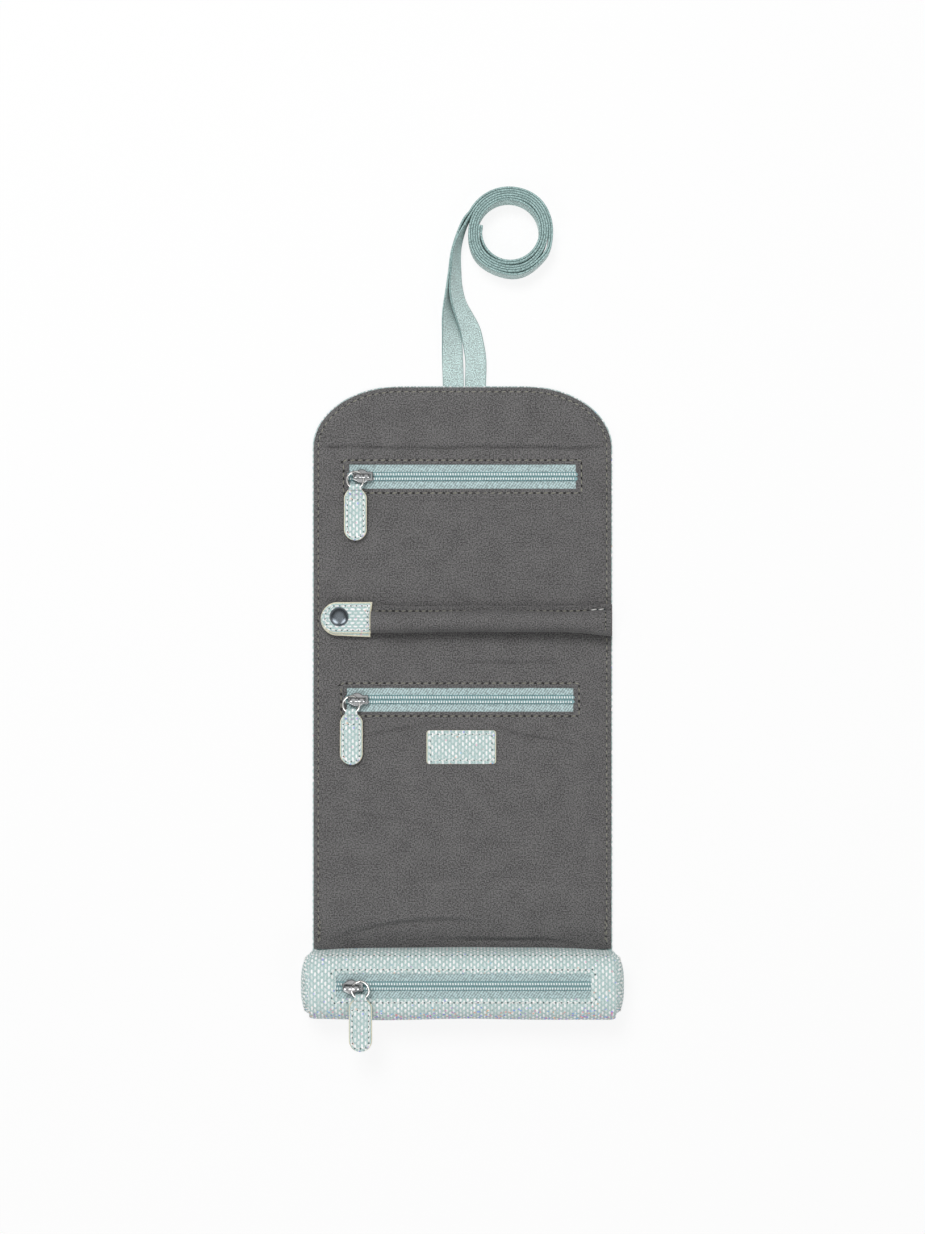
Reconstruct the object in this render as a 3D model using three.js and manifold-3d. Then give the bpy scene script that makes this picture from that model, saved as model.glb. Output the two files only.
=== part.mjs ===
// A travel jewellery roll, lying open and flat, lining up.
// Millimetres. X runs across the roll, Y up its length towards the ties, Z up from the table.
// The origin is under the middle of the roll, on the table.
import * as THREE from "three";
import { mergeVertices } from "three/addons/utils/BufferGeometryUtils.js";
import Module from "manifold-3d";

const wasm = await Module();
wasm.setup();

// Panel: leather outside, padding, microsuede lining
const panelWidth = 160;
const panelThickness = 5;
const leatherThickness = 1.1;
const liningThickness = 0.6;
const plyGap = 0.1;
const foldGap = 0.4;
const seamAllowance = 1.6;

// Lengths of the panel's sections between its folds, from the ties down
const flapLength = 33;
const upperLength = 52.5;
const ringLength = 72;
const middleLength = 49.5;
const lowerLength = 55;
const lastLength = 35.5;
const flapCornerWidth = 46;
const flapCornerSteps = 8;

// Pockets behind the two flat zips
const bagThickness = 0.3;
const bagWall = 0.8;
const bagDepth = 1.8;
const bagMargin = 6;
const bagEndMargin = 0.8;

// Zips
const zipOpening = 12.9;
const zipCornerRadius = 1;
const zipCornerSteps = 3;
const panelZipLength = 120.7;
const pouchZipLength = 132.6;
const tapeThickness = 0.4;
const tapeWidth = 6.8;
const tapeOverlap = 3.5;
const chainWidth = 4.5;
const chainGap = 0.9;
const chainHeight = 1.2;
const chainCrown = 0.35;

// Sliders with their bridges
const sliderLength = 10.7;
const sliderMouthWidth = 6.9;
const sliderTailWidth = 5.1;
const sliderPlate = 1.3;
const sliderLowerPlate = 0.6;
const sliderPostWidth = 0.5;
const sliderPostLength = 2.6;
const sliderClearance = 0.2;
const bridgeLength = 7.4;
const bridgeWidth = 2;
const bridgeWall = 1;
const bridgeTunnel = 2;

// Split rings and leather pull tabs
const ringDiameter = 10;
const ringWire = 1.2;
const ringTubeSteps = 8;
const ringTurnSteps = 28;
const tabWidth = 12;
const tabEyeWidth = 3.6;
const tabLength = 27.8;
const tabNeckLength = 3.6;
const tabThickness = 1.6;
const tabLift = 0.9;
const pouchTabLift = 0.3;
const tabEyeWall = 0.7;
const tabEyeClearance = 0.1;
const tabCornerSteps = 8;

// Where each zip lies: station down from the flap's edge, centre across, slider inset,
// and how far the ring's centre hangs below the teeth
const upperZipStation = 48.4;
const upperZipCentre = 0;
const upperSliderInset = 2;
const upperRingDrop = 2;
const middleZipStation = 167.2;
const middleZipCentre = -1.3;
const middleSliderInset = 0.9;
const middleRingDrop = 2.4;
const pouchZipStation = 314.9;
const pouchZipCentre = 0.5;
const pouchSliderInset = 3.4;
const pouchRingDrop = 1.2;

// Label patch
const labelWidth = 37;
const labelHeight = 18;
const labelThickness = 0.6;
const labelStation = 192.5;
const labelCentre = -0.65;
const labelCornerRadius = 1.6;
const labelCornerSteps = 3;

// Ring bar: a stuffed tube, sewn in at the right and snapped down at the left
const barStation = 125.7;
const barDiameter = 12;
const barLeft = -49;
const barRight = 79.5;
const barCoverThickness = 0.6;
const barFlangeWidth = 2.4;
const barFlangeThickness = 1.4;
const barClearance = 0.3;
const barFlatEnd = 2.6;
const barTaper = 11;
const barSides = 20;
const barLeftSwellShare = 0.62;
const barLeftShares = [0, 0.15, 0.5, 1];
const barRightShares = [1, 0.75, 0.5, 0.3, 0.15, 0];

// Snap tab and snap fastener
const snapTabWidth = 17.1;
const snapTabLength = 26.7;
const snapTabStation = 124;
const snapTabThickness = 2.2;
const snapTabSteps = 10;
const snapReach = 9.4;
const snapCapDiameter = 10;
const snapCapHeight = 1.9;
const snapCapCrown = 0.7;
const snapSocketDiameter = 9;
const snapSocketHeight = 1.8;
const snapBoreDiameter = 4.6;
const snapKnobDiameter = 3.8;
const snapKnobHeight = 1.8;
const snapStudDiameter = 9;
const snapFlange = 0.5;
const snapSides = 28;
const snapCrownSteps = 4;

// Pouch at the bottom: a padded tube with bulging ends
const pouchDepth = 37.1;
const pouchHeight = 29;
const pouchPadding = 1.2;
const pouchBulge = 4.9;
const pouchEndGap = 0.2;
const pouchSquareness = 2.8;
const pouchSteps = 44;
const pouchRootLength = 9;
const pouchTapeSag = 0.8;
const pouchBulgeSteps = 4;
const pouchBulgeTipShare = 0.3;
const pouchBulgePowerShare = 0.5;

// Ties: two flat straps, wound together on edge into one coil
const strapWidth = 11.2;
const strapThickness = 0.8;
const strapPitch = 1.3;
const strapRootLength = 11;
const strapJointGap = 0.3;
const strapLift = 0.1;
const coilCentreX = 24.9;
const coilCentreRise = 81;
const coilInnerRadius = 15;
const coilStartTurn = 168 / 360;
const coilSteps = 71;
const coilStepsPerTurn = 24;
const leadStepsPerPoint = 3;

// Each strap's way to the coil: across, rise above the flap's edge, and lean in quarter turns
const leftRoute = [
  [-4.9, -strapRootLength, 0],
  [-4.9, 0, 0],
  [-5.3, 14, 0.05],
  [-5.8, 26, 0.3],
  [-7.2, 38, 0.62],
  [-8.3, 50, 0.88],
  [-8.8, 60, 1],
  [-5.8, 72, 1],
  [0.9, 87.2, 1],
];
const rightRoute = [
  [6.9, -strapRootLength, 0],
  [6.9, 0, 0],
  [7.3, 14, 0.05],
  [5.2, 25, 0.28],
  [0.6, 36, 0.6],
  [-3.2, 47, 0.85],
  [-4.5, 58, 1],
  [-2.6, 72, 1],
  [2.2, 86.6, 1],
];

// Colours
const aqua = 0xa9c0be;
const greySuede = 0x636262;
const foam = 0xd8d6d0;
const tapeAqua = 0xa9bcbd;
const chainAqua = 0xc5dad8;
const nickel = 0xb9b6b4;
const gunmetal = 0x6c7378;

const finish = (color, roughness, metalness) =>
  new THREE.MeshStandardMaterial({ color, roughness, metalness });
const leather = finish(aqua, 0.45, 0);
const suede = finish(greySuede, 0.95, 0);
const padding = finish(foam, 0.9, 0);
const woven = finish(tapeAqua, 0.8, 0);
const nylon = finish(chainAqua, 0.4, 0);
const plated = finish(nickel, 0.25, 1);
const darkMetal = finish(gunmetal, 0.3, 1);

// Stations down the roll, from the flap's edge, and the way from a station to Y
const creaseStation = flapLength;
const upperEnd = creaseStation + upperLength;
const ringEnd = upperEnd + ringLength;
const middleEnd = ringEnd + middleLength;
const lowerEnd = middleEnd + lowerLength;
const lastEnd = lowerEnd + lastLength;
const ringRadius = (ringDiameter - ringWire) / 2;
const ringSagitta = ringRadius - Math.sqrt(ringRadius ** 2 - (tabEyeWidth / 2) ** 2);
const tabEyeRadius = ringWire / 2 + ringSagitta + tabEyeClearance + tabEyeWall;
const tabTipStation = pouchZipStation + pouchRingDrop + ringRadius + tabLength;
const originStation = tabTipStation / 2;
const along = (station) => originStation - station;

// Heights of the plies
const liningBottom = panelThickness - liningThickness;
const paddingBottom = leatherThickness + plyGap;
const tapeTop = liningBottom - plyGap;
const pouchTapeTop = pouchHeight - leatherThickness - pouchTapeSag;

const root = new THREE.Group();

// A closed geometry as a solid that can be joined and cut.
function solid(geometry) {
  const bare = geometry.clone();
  for (const name of ["normal", "uv"]) bare.deleteAttribute(name);
  const merged = mergeVertices(bare);
  return new wasm.Manifold(
    new wasm.Mesh({
      numProp: 3,
      vertProperties: merged.attributes.position.array,
      triVerts: new Uint32Array(merged.index.array),
    }),
  );
}

// A solid back as a geometry.
function geometryOf(shape) {
  const mesh = shape.getMesh();
  const geometry = new THREE.BufferGeometry();
  geometry.setAttribute("position", new THREE.BufferAttribute(mesh.vertProperties, 3));
  geometry.setIndex(new THREE.BufferAttribute(mesh.triVerts, 1));
  const flat = geometry.toNonIndexed();
  flat.computeVertexNormals();
  return flat;
}

const join = (first, ...rest) => rest.reduce((all, next) => all.add(next), first);
const cut = (first, ...rest) => rest.reduce((all, next) => all.subtract(next), first);

// Adds a named mesh to a body's group.
function piece(body, name, shape, material) {
  const geometry = shape.isBufferGeometry ? shape : geometryOf(shape);
  const mesh = new THREE.Mesh(geometry, material);
  mesh.name = name;
  body.add(mesh);
}

// A body of the roll, as a group of the assembly.
function bodyGroup() {
  const group = new THREE.Group();
  root.add(group);
  return group;
}

// A block between two corners.
function block([x0, x1], [y0, y1], [z0, z1]) {
  const geometry = new THREE.BoxGeometry(x1 - x0, y1 - y0, z1 - z0);
  return geometry.translate((x0 + x1) / 2, (y0 + y1) / 2, (z0 + z1) / 2);
}

// An outline in X and Y, raised from one height to another.
function plate(outline, bottom, top) {
  const settings = { depth: top - bottom, bevelEnabled: false, curveSegments: 1 };
  return new THREE.ExtrudeGeometry(outline, settings).translate(0, 0, bottom);
}

// An outline in Y and Z, carried along X.
function beam(outline, x0, x1) {
  const settings = { depth: x1 - x0, bevelEnabled: false, curveSegments: 1 };
  const geometry = new THREE.ExtrudeGeometry(outline, settings);
  const turn = new THREE.Matrix4().makeBasis(
    new THREE.Vector3(0, 1, 0),
    new THREE.Vector3(0, 0, 1),
    new THREE.Vector3(1, 0, 0),
  );
  return geometry.applyMatrix4(turn).translate(x0, 0, 0);
}

// A closed skin through rings of points, with a fan at each end.
function loft(rings) {
  const count = rings[0].length;
  const middle = (ring) =>
    ring.reduce((sum, p) => sum.add(p), new THREE.Vector3()).divideScalar(count);
  const points = [...rings.flat(), middle(rings[0]), middle(rings[rings.length - 1])];
  const first = points.length - 2;
  const last = points.length - 1;
  const faces = [];
  for (let i = 0; i < count; i++) {
    const next = (i + 1) % count;
    for (let k = 0; k + 1 < rings.length; k++) {
      const a = k * count;
      const b = a + count;
      faces.push(a + i, a + next, b + next, a + i, b + next, b + i);
    }
    const end = (rings.length - 1) * count;
    faces.push(first, next, i, last, end + i, end + next);
  }
  const geometry = new THREE.BufferGeometry().setFromPoints(points);
  geometry.setIndex(faces);
  const flat = geometry.toNonIndexed();
  flat.computeVertexNormals();
  return flat;
}

// Points round a corner that is a quarter of an ellipse, from one angle in quarter turns.
function corner(x, y, width, height, quarter, steps) {
  const points = [];
  for (let i = 0; i <= steps; i++) {
    const angle = ((quarter + i / steps) * Math.PI) / 2;
    points.push(new THREE.Vector2(x + width * Math.cos(angle), y + height * Math.sin(angle)));
  }
  return points;
}

// A rectangle with round corners, counterclockwise.
function roundedRectangle(x, y, width, height, radius, steps) {
  const w = width / 2 - radius;
  const h = height / 2 - radius;
  return [
    ...corner(x + w, y + h, radius, radius, 0, steps),
    ...corner(x - w, y + h, radius, radius, 1, steps),
    ...corner(x - w, y - h, radius, radius, 2, steps),
    ...corner(x + w, y - h, radius, radius, 3, steps),
  ];
}

// The outline of one section of the panel, drawn in from its outside edges by an amount.
function sectionOutline(from, to, inset = 0, topInset = inset) {
  const side = panelWidth / 2 - inset;
  const low = along(to) + foldGap / 2;
  if (from > 0) {
    const high = along(from) - foldGap / 2;
    return [
      new THREE.Vector2(-side, low),
      new THREE.Vector2(side, low),
      new THREE.Vector2(side, high),
      new THREE.Vector2(-side, high),
    ];
  }
  const centreX = panelWidth / 2 - flapCornerWidth;
  const width = flapCornerWidth - inset;
  const height = flapLength - foldGap / 2 - topInset;
  return [
    ...corner(centreX, low, width, height, 0, flapCornerSteps),
    ...corner(-centreX, low, width, height, 1, flapCornerSteps),
  ];
}

// The opening in a ply above a zip.
function zipWindow(centre, station, length) {
  const y = along(station);
  return roundedRectangle(centre, y, length, zipOpening, zipCornerRadius, zipCornerSteps);
}

// The plies of one section: leather, padding and lining, with a pocket where it has a zip.
function section(name, from, to, zip, strapInset) {
  const body = bodyGroup();
  const outer = new THREE.Shape(sectionOutline(from, to));
  piece(body, `${name}_outer`, plate(outer, 0, leatherThickness), leather);
  const bagBottom = tapeTop - bagDepth;
  const paddingTop = zip ? bagBottom - plyGap : tapeTop;
  const inner = new THREE.Shape(sectionOutline(from, to, seamAllowance, strapInset));
  piece(body, `${name}_padding`, plate(inner, paddingBottom, paddingTop), padding);
  const lining = new THREE.Shape(sectionOutline(from, to));
  if (zip) lining.holes.push(new THREE.Path(zipWindow(zip.centre, zip.station, zip.length)));
  piece(body, `${name}_lining`, plate(lining, liningBottom, panelThickness), suede);
  if (zip) {
    const xs = [bagMargin - panelWidth / 2, panelWidth / 2 - bagMargin];
    const ys = [along(to) + bagEndMargin, along(from) - bagEndMargin];
    const hollow = block(
      [xs[0] + bagWall, xs[1] - bagWall],
      [ys[0] + bagWall, ys[1] - bagWall],
      [bagBottom + bagThickness, panelThickness],
    );
    const tray = cut(solid(block(xs, ys, [bagBottom, tapeTop])), solid(hollow));
    piece(body, `${name}_pocket_bag`, tray, suede);
  }
  return body;
}

// The two woven tapes of a zip and the coil of teeth on the edge of each.
function tapesAndTeeth(body, name, zip) {
  const y = along(zip.station);
  const x0 = zip.centre - zip.length / 2 - tapeOverlap;
  const x1 = zip.centre + zip.length / 2 + tapeOverlap;
  const teethBottom = zip.tapeTop + plyGap;
  for (const [side, sign] of [["upper", 1], ["lower", -1]]) {
    const near = y + (sign * chainGap) / 2;
    const far = near + sign * tapeWidth;
    const ys = [Math.min(near, far), Math.max(near, far)];
    const tape = block([x0, x1], ys, [zip.tapeTop - tapeThickness, zip.tapeTop]);
    piece(body, `${name}_zip_tape_${side}`, tape, woven);
    const low = sign > 0 ? near : y - chainWidth / 2;
    const high = sign > 0 ? y + chainWidth / 2 : near;
    const profile = new THREE.Shape([
      new THREE.Vector2(low, teethBottom),
      new THREE.Vector2(high, teethBottom),
      new THREE.Vector2(high, teethBottom + chainHeight - chainCrown),
      new THREE.Vector2(high - chainCrown, teethBottom + chainHeight),
      new THREE.Vector2(low + chainCrown, teethBottom + chainHeight),
      new THREE.Vector2(low, teethBottom + chainHeight - chainCrown),
    ]);
    const half = zip.length / 2 - plyGap;
    const teeth = beam(profile, zip.centre - half, zip.centre + half);
    piece(body, `${name}_zip_teeth_${side}`, teeth, nylon);
  }
}

// The slider: a plate under and over the teeth, a post between them, and the bridge on top.
function slider(name, zip) {
  const body = bodyGroup();
  const y = along(zip.station);
  const x = zip.centre - zip.length / 2 + zip.inset + sliderLength / 2;
  const plateBottom = zip.tapeTop + plyGap + chainHeight + sliderClearance;
  const plateTop = plateBottom + sliderPlate;
  const left = x - sliderLength / 2;
  const right = x + sliderLength / 2;
  const mouth = sliderMouthWidth / 2;
  const tail = sliderTailWidth / 2;
  const top = new THREE.Shape([
    new THREE.Vector2(left, y - tail),
    new THREE.Vector2(x - sliderPostLength, y - mouth),
    new THREE.Vector2(x, y - mouth),
    new THREE.Vector2(right, y - tail),
    new THREE.Vector2(right, y + tail),
    new THREE.Vector2(x, y + mouth),
    new THREE.Vector2(x - sliderPostLength, y + mouth),
    new THREE.Vector2(left, y + tail),
  ]);
  const wallBottom = zip.tapeTop + sliderClearance;
  const wallInside = chainWidth / 2 + sliderClearance;
  const walls = [1, -1].map((sign) => {
    const ys = [y + sign * wallInside, y + sign * mouth].sort((a, b) => a - b);
    return solid(block([x - sliderPostLength, x], ys, [wallBottom, plateTop]));
  });
  const lowerTop = zip.tapeTop - tapeThickness - plyGap;
  const lowerBottom = lowerTop - sliderLowerPlate;
  const postSpan = [x - sliderPostLength, x + sliderPostLength];
  const post = block(
    postSpan,
    [y - sliderPostWidth / 2, y + sliderPostWidth / 2],
    [lowerBottom, plateTop],
  );
  const lower = block(postSpan, [y - tail, y + tail], [lowerBottom, lowerTop]);
  const bridgeTop = plateTop + bridgeTunnel + bridgeWall;
  const arch = cut(
    solid(
      block(
        [x - bridgeLength / 2, x + bridgeLength / 2],
        [y - bridgeWidth / 2, y + bridgeWidth / 2],
        [plateTop - sliderPlate / 2, bridgeTop],
      ),
    ),
    solid(
      block(
        [x - bridgeLength / 2 + bridgeWall, x + bridgeLength / 2 - bridgeWall],
        [y - bridgeWidth, y + bridgeWidth],
        [plateTop, plateTop + bridgeTunnel],
      ),
    ),
  );
  const made = join(
    solid(plate(top, plateBottom, plateTop)),
    ...walls,
    solid(post),
    solid(lower),
    arch,
  );
  piece(body, `${name}_slider`, made, plated);
  return { x, y, ringHeight: plateTop + bridgeTunnel / 2 };
}

// The outline of a pull tab: a narrow neck that widens to a strap with a round end.
function tabOutline(x, y) {
  const radius = tabWidth / 2;
  const neckEnd = y - tabEyeRadius - tabNeckLength;
  const straight = y - tabLength + radius;
  const neck = tabEyeWidth / 2;
  return [
    new THREE.Vector2(x + neck, y + tabEyeRadius),
    new THREE.Vector2(x - neck, y + tabEyeRadius),
    new THREE.Vector2(x - neck, y - tabEyeRadius),
    new THREE.Vector2(x - radius, neckEnd),
    ...corner(x, straight, radius, radius, 2, tabCornerSteps),
    ...corner(x, straight, radius, radius, 3, tabCornerSteps).slice(1),
    new THREE.Vector2(x + radius, neckEnd),
    new THREE.Vector2(x + neck, y - tabEyeRadius),
  ];
}

// The ring through the bridge, and the leather tab that hangs from the ring's lowest point.
function ringAndTab(name, at, zip) {
  const sideways = Math.sqrt(ringRadius ** 2 - zip.ringDrop ** 2);
  const x = at.x + zip.ringSide * sideways;
  const y = at.y - zip.ringDrop;
  const torus = new THREE.TorusGeometry(ringRadius, ringWire / 2, ringTubeSteps, ringTurnSteps);
  piece(bodyGroup(), `${name}_ring`, torus.translate(x, y, at.ringHeight), plated);

  const pivot = y - ringRadius;
  const wall = tabEyeRadius;
  const bore = wall - tabEyeWall;
  const flat = zip.restHeight;
  const profile = new THREE.Shape([
    new THREE.Vector2(pivot - tabLength, flat),
    new THREE.Vector2(pivot - wall - tabNeckLength, flat),
    ...corner(pivot, at.ringHeight, wall, wall, 3, ringTubeSteps),
    ...corner(pivot, at.ringHeight, wall, wall, 0, ringTubeSteps).slice(1),
    new THREE.Vector2(pivot - wall, at.ringHeight + wall / 2),
    new THREE.Vector2(pivot - wall - tabNeckLength, flat + tabThickness),
    new THREE.Vector2(pivot - tabLength, flat + tabThickness),
  ]);
  const eye = [0, 1, 2, 3].flatMap((quarter) =>
    corner(pivot, at.ringHeight, bore, bore, quarter, ringTubeSteps / 2).slice(1),
  );
  profile.holes.push(new THREE.Path(eye));
  const edgeOn = solid(beam(profile, x - tabWidth, x + tabWidth));
  const outline = new THREE.Shape(tabOutline(x, pivot));
  const plan = solid(plate(outline, at.ringHeight - 2 * wall, at.ringHeight + 2 * wall));
  piece(bodyGroup(), `${name}_pull_tab`, edgeOn.intersect(plan), leather);
}

// A whole zip on its body.
function zipOn(body, name, zip) {
  tapesAndTeeth(body, name, zip);
  ringAndTab(name, slider(name, zip), zip);
}

// A round disc with a crowned top, on the snap's axis.
function disc(x, y, diameter, bottom, top, crown) {
  const radius = diameter / 2;
  const profile = [
    new THREE.Vector2(0, bottom),
    new THREE.Vector2(radius, bottom),
    new THREE.Vector2(radius, top - crown),
  ];
  for (let i = 1; crown > 0 && i < snapCrownSteps; i++) {
    const angle = (i / snapCrownSteps) * (Math.PI / 2);
    const out = radius * Math.cos(angle);
    profile.push(new THREE.Vector2(out, top - crown + crown * Math.sin(angle)));
  }
  profile.push(new THREE.Vector2(0, top));
  const turned = new THREE.LatheGeometry(profile, snapSides);
  return turned.rotateX(Math.PI / 2).translate(x, y, 0);
}

// The stud on the ring panel, and the post that clamps it through the lining.
function snapStud(body, x, y) {
  const base = panelThickness + plyGap;
  const knobTop = base + snapFlange + snapKnobHeight;
  const stud = join(
    solid(disc(x, y, snapStudDiameter, base, base + snapFlange, 0)),
    solid(disc(x, y, snapKnobDiameter, base + snapFlange / 2, knobTop, snapFlange / 2)),
  );
  piece(body, "snap_stud", stud, darkMetal);
  return { socketBottom: base + snapFlange + plyGap, knobTop };
}

// The ring bar: its cover open at the left end, its stuffing, and the seam flange behind it.
function ringBar() {
  const body = bodyGroup();
  const bottom = panelThickness + barClearance;
  const stations = [
    ...barLeftShares.map((share) => barLeft + share * barTaper),
    ...barRightShares.map((share) => barRight - share * barTaper),
  ];
  const skin = (inset, places) => {
    const rings = places.map((x) => {
      const fromEnd = Math.min(1, Math.max(0, (barRight - x) / barTaper));
      const fromTab = Math.min(1, Math.max(0, (x - barLeft) / barTaper));
      const atTab = barLeftSwellShare + (1 - barLeftSwellShare) * Math.sqrt(fromTab);
      const swell = Math.sqrt(1 - (1 - fromEnd) ** 2) * atTab;
      const height = (barFlatEnd + (barDiameter - barFlatEnd) * swell) / 2 - inset;
      const width = barDiameter / 2 - inset;
      return Array.from({ length: barSides }, (_, i) => {
        const angle = (i / barSides) * 2 * Math.PI;
        const y = along(barStation) + width * Math.cos(angle);
        return new THREE.Vector3(x, y, bottom + inset + height + height * Math.sin(angle));
      });
    });
    return solid(loft(rings));
  };
  const flangeY = along(barStation) + barDiameter / 2;
  const flange = block(
    [barLeft, barRight],
    [flangeY - barCoverThickness, flangeY + barFlangeWidth],
    [bottom, bottom + barFlangeThickness],
  );
  const cover = cut(
    join(skin(0, stations), solid(flange)),
    skin(barCoverThickness, [barLeft - barTaper, ...stations.slice(1, -1)]),
  );
  piece(body, "ring_bar_cover", cover, suede);
  const stuffing = skin(barCoverThickness + plyGap, stations.slice(1, -2));
  piece(body, "ring_bar_stuffing", stuffing, padding);
}

// The snap tab at the bar's left end, with the socket under it and the cap on top.
function snapTab(stud) {
  const body = bodyGroup();
  const y = along(snapTabStation);
  const radius = snapTabWidth / 2;
  const right = barLeft - barClearance;
  const left = right - snapTabLength;
  const x = left + snapReach;
  const bottom = stud.socketBottom + snapSocketHeight + plyGap;
  const top = bottom + snapTabThickness;
  const outline = new THREE.Shape([
    new THREE.Vector2(right, y - radius),
    new THREE.Vector2(right, y + radius),
    ...corner(left + radius, y, radius, radius, 1, snapTabSteps),
    ...corner(left + radius, y, radius, radius, 2, snapTabSteps).slice(1),
  ]);
  piece(body, "snap_tab", plate(outline, bottom, top), leather);
  const socket = cut(
    solid(disc(x, y, snapSocketDiameter, stud.socketBottom, bottom - plyGap, 0)),
    solid(disc(x, y, snapBoreDiameter, 0, stud.knobTop + plyGap, 0)),
  );
  piece(body, "snap_socket", socket, darkMetal);
  const capBottom = top + plyGap;
  const cap = disc(x, y, snapCapDiameter, capBottom, capBottom + snapCapHeight, snapCapCrown);
  piece(body, "snap_cap", cap, darkMetal);
}

// The pouch's cross-section, drawn in from its outside by an amount, as an outline in Y and Z.
function pouchOutline(inset) {
  const centre = along(lastEnd) - foldGap / 2 - pouchDepth / 2;
  const points = [];
  for (let i = 0; i < pouchSteps; i++) {
    const angle = (i / pouchSteps) * 2 * Math.PI;
    const share = (value) => Math.sign(value) * Math.abs(value) ** (2 / pouchSquareness);
    const y = centre + (pouchDepth / 2 - inset) * share(Math.cos(angle));
    const z = pouchHeight / 2 + (pouchHeight / 2 - inset) * share(Math.sin(angle));
    points.push(new THREE.Vector2(y, z));
  }
  return points;
}

// A layer of the pouch's tube between two depths, with a slot for the zip in its top.
function pouchLayer(outside, inside, slotLength, slotHeight, extra) {
  const end = panelWidth / 2;
  const opening = roundedRectangle(
    pouchZipCentre,
    along(pouchZipStation),
    slotLength,
    slotHeight,
    zipCornerRadius,
    zipCornerSteps,
  );
  const slot = plate(new THREE.Shape(opening), pouchHeight / 2, pouchHeight + leatherThickness);
  const full = solid(beam(new THREE.Shape(pouchOutline(outside)), -end, end));
  const hollow = beam(new THREE.Shape(pouchOutline(inside)), -end - pouchBulge, end + pouchBulge);
  return cut(extra ? join(full, extra) : full, solid(hollow), solid(slot));
}

// A bulging end of the pouch.
function pouchEnd(side) {
  const start = side * (panelWidth / 2 + pouchEndGap);
  const centreY = along(lastEnd) - foldGap / 2 - pouchDepth / 2;
  const rings = [];
  for (let i = 0; i <= pouchBulgeSteps; i++) {
    const angle = (i / pouchBulgeSteps) * (Math.PI / 2);
    const round = Math.cos(angle) ** pouchBulgePowerShare;
    const scale = Math.max(pouchBulgeTipShare, round);
    const x = start + side * pouchBulge * Math.sin(angle);
    const ring = pouchOutline(leatherThickness).map(
      (p) =>
        new THREE.Vector3(
          x,
          centreY + (p.x - centreY) * scale,
          pouchHeight / 2 + (p.y - pouchHeight / 2) * scale,
        ),
    );
    rings.push(ring);
  }
  return loft(side > 0 ? rings : rings.reverse());
}

// The pouch: leather, padding and lining round its hollow, its two ends, and its zip.
function pouch() {
  const body = bodyGroup();
  const rootY = along(lastEnd) - foldGap / 2;
  const seam = block(
    [-panelWidth / 2, panelWidth / 2],
    [rootY - pouchRootLength, rootY],
    [0, liningBottom],
  );
  const tapeSlot = 2 * tapeWidth + chainGap + 2 * plyGap;
  const tapeLength = pouchZipLength + 2 * (tapeOverlap + zipCornerRadius);
  const depth = leatherThickness + plyGap;
  const linerDepth = depth + pouchPadding + plyGap;
  const shell = pouchLayer(0, leatherThickness, pouchZipLength, zipOpening, solid(seam));
  piece(body, "pouch_shell", shell, leather);
  const foamLayer = pouchLayer(depth, depth + pouchPadding, tapeLength, tapeSlot);
  piece(body, "pouch_padding", foamLayer, padding);
  const liner = pouchLayer(linerDepth, linerDepth + liningThickness, tapeLength, tapeSlot);
  piece(body, "pouch_liner", liner, suede);
  piece(body, "pouch_end_left", pouchEnd(-1), leather);
  piece(body, "pouch_end_right", pouchEnd(1), leather);
  return body;
}

// One ring of a strap's section: centre, direction across its thickness, and lean of its width.
function strapRing(centre, across, lean) {
  const flat = new THREE.Vector3(across.x, across.y, 0).multiplyScalar(Math.cos(lean));
  const wide = new THREE.Vector3(flat.x, flat.y, Math.sin(lean)).multiplyScalar(strapWidth / 2);
  const travel = new THREE.Vector3(-across.y, across.x, 0);
  const thin = new THREE.Vector3().crossVectors(wide, travel).normalize();
  thin.multiplyScalar(strapThickness / 2);
  return [
    centre.clone().add(wide).add(thin),
    centre.clone().sub(wide).add(thin),
    centre.clone().sub(wide).sub(thin),
    centre.clone().add(wide).sub(thin),
  ];
}

const coilEndTurn = coilStartTurn + coilSteps / coilStepsPerTurn;

const edgeHeight = strapWidth / 2 + strapLift;

// The radius of a strap's middle in the coil, after so many turns from the coil's start.
const coilRadius = (lane, turn) =>
  coilInnerRadius + strapPitch * lane + 2 * strapPitch * (turn - coilStartTurn);

// The stretch of a strap that is wound into the coil, standing on its edge.
function strapCoil(lane) {
  const points = [];
  const rings = [];
  for (let i = 0; i <= coilSteps; i++) {
    const turn = coilStartTurn + i / coilStepsPerTurn;
    const angle = turn * 2 * Math.PI;
    const outward = new THREE.Vector3(Math.cos(angle), Math.sin(angle), 0);
    const point = new THREE.Vector3(coilCentreX, along(0) + coilCentreRise, edgeHeight);
    point.addScaledVector(outward, coilRadius(lane, turn));
    points.push(point);
    rings.push(strapRing(point, outward, Math.PI / 2));
  }
  return { points, shape: loft(rings.reverse()) };
}

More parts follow.
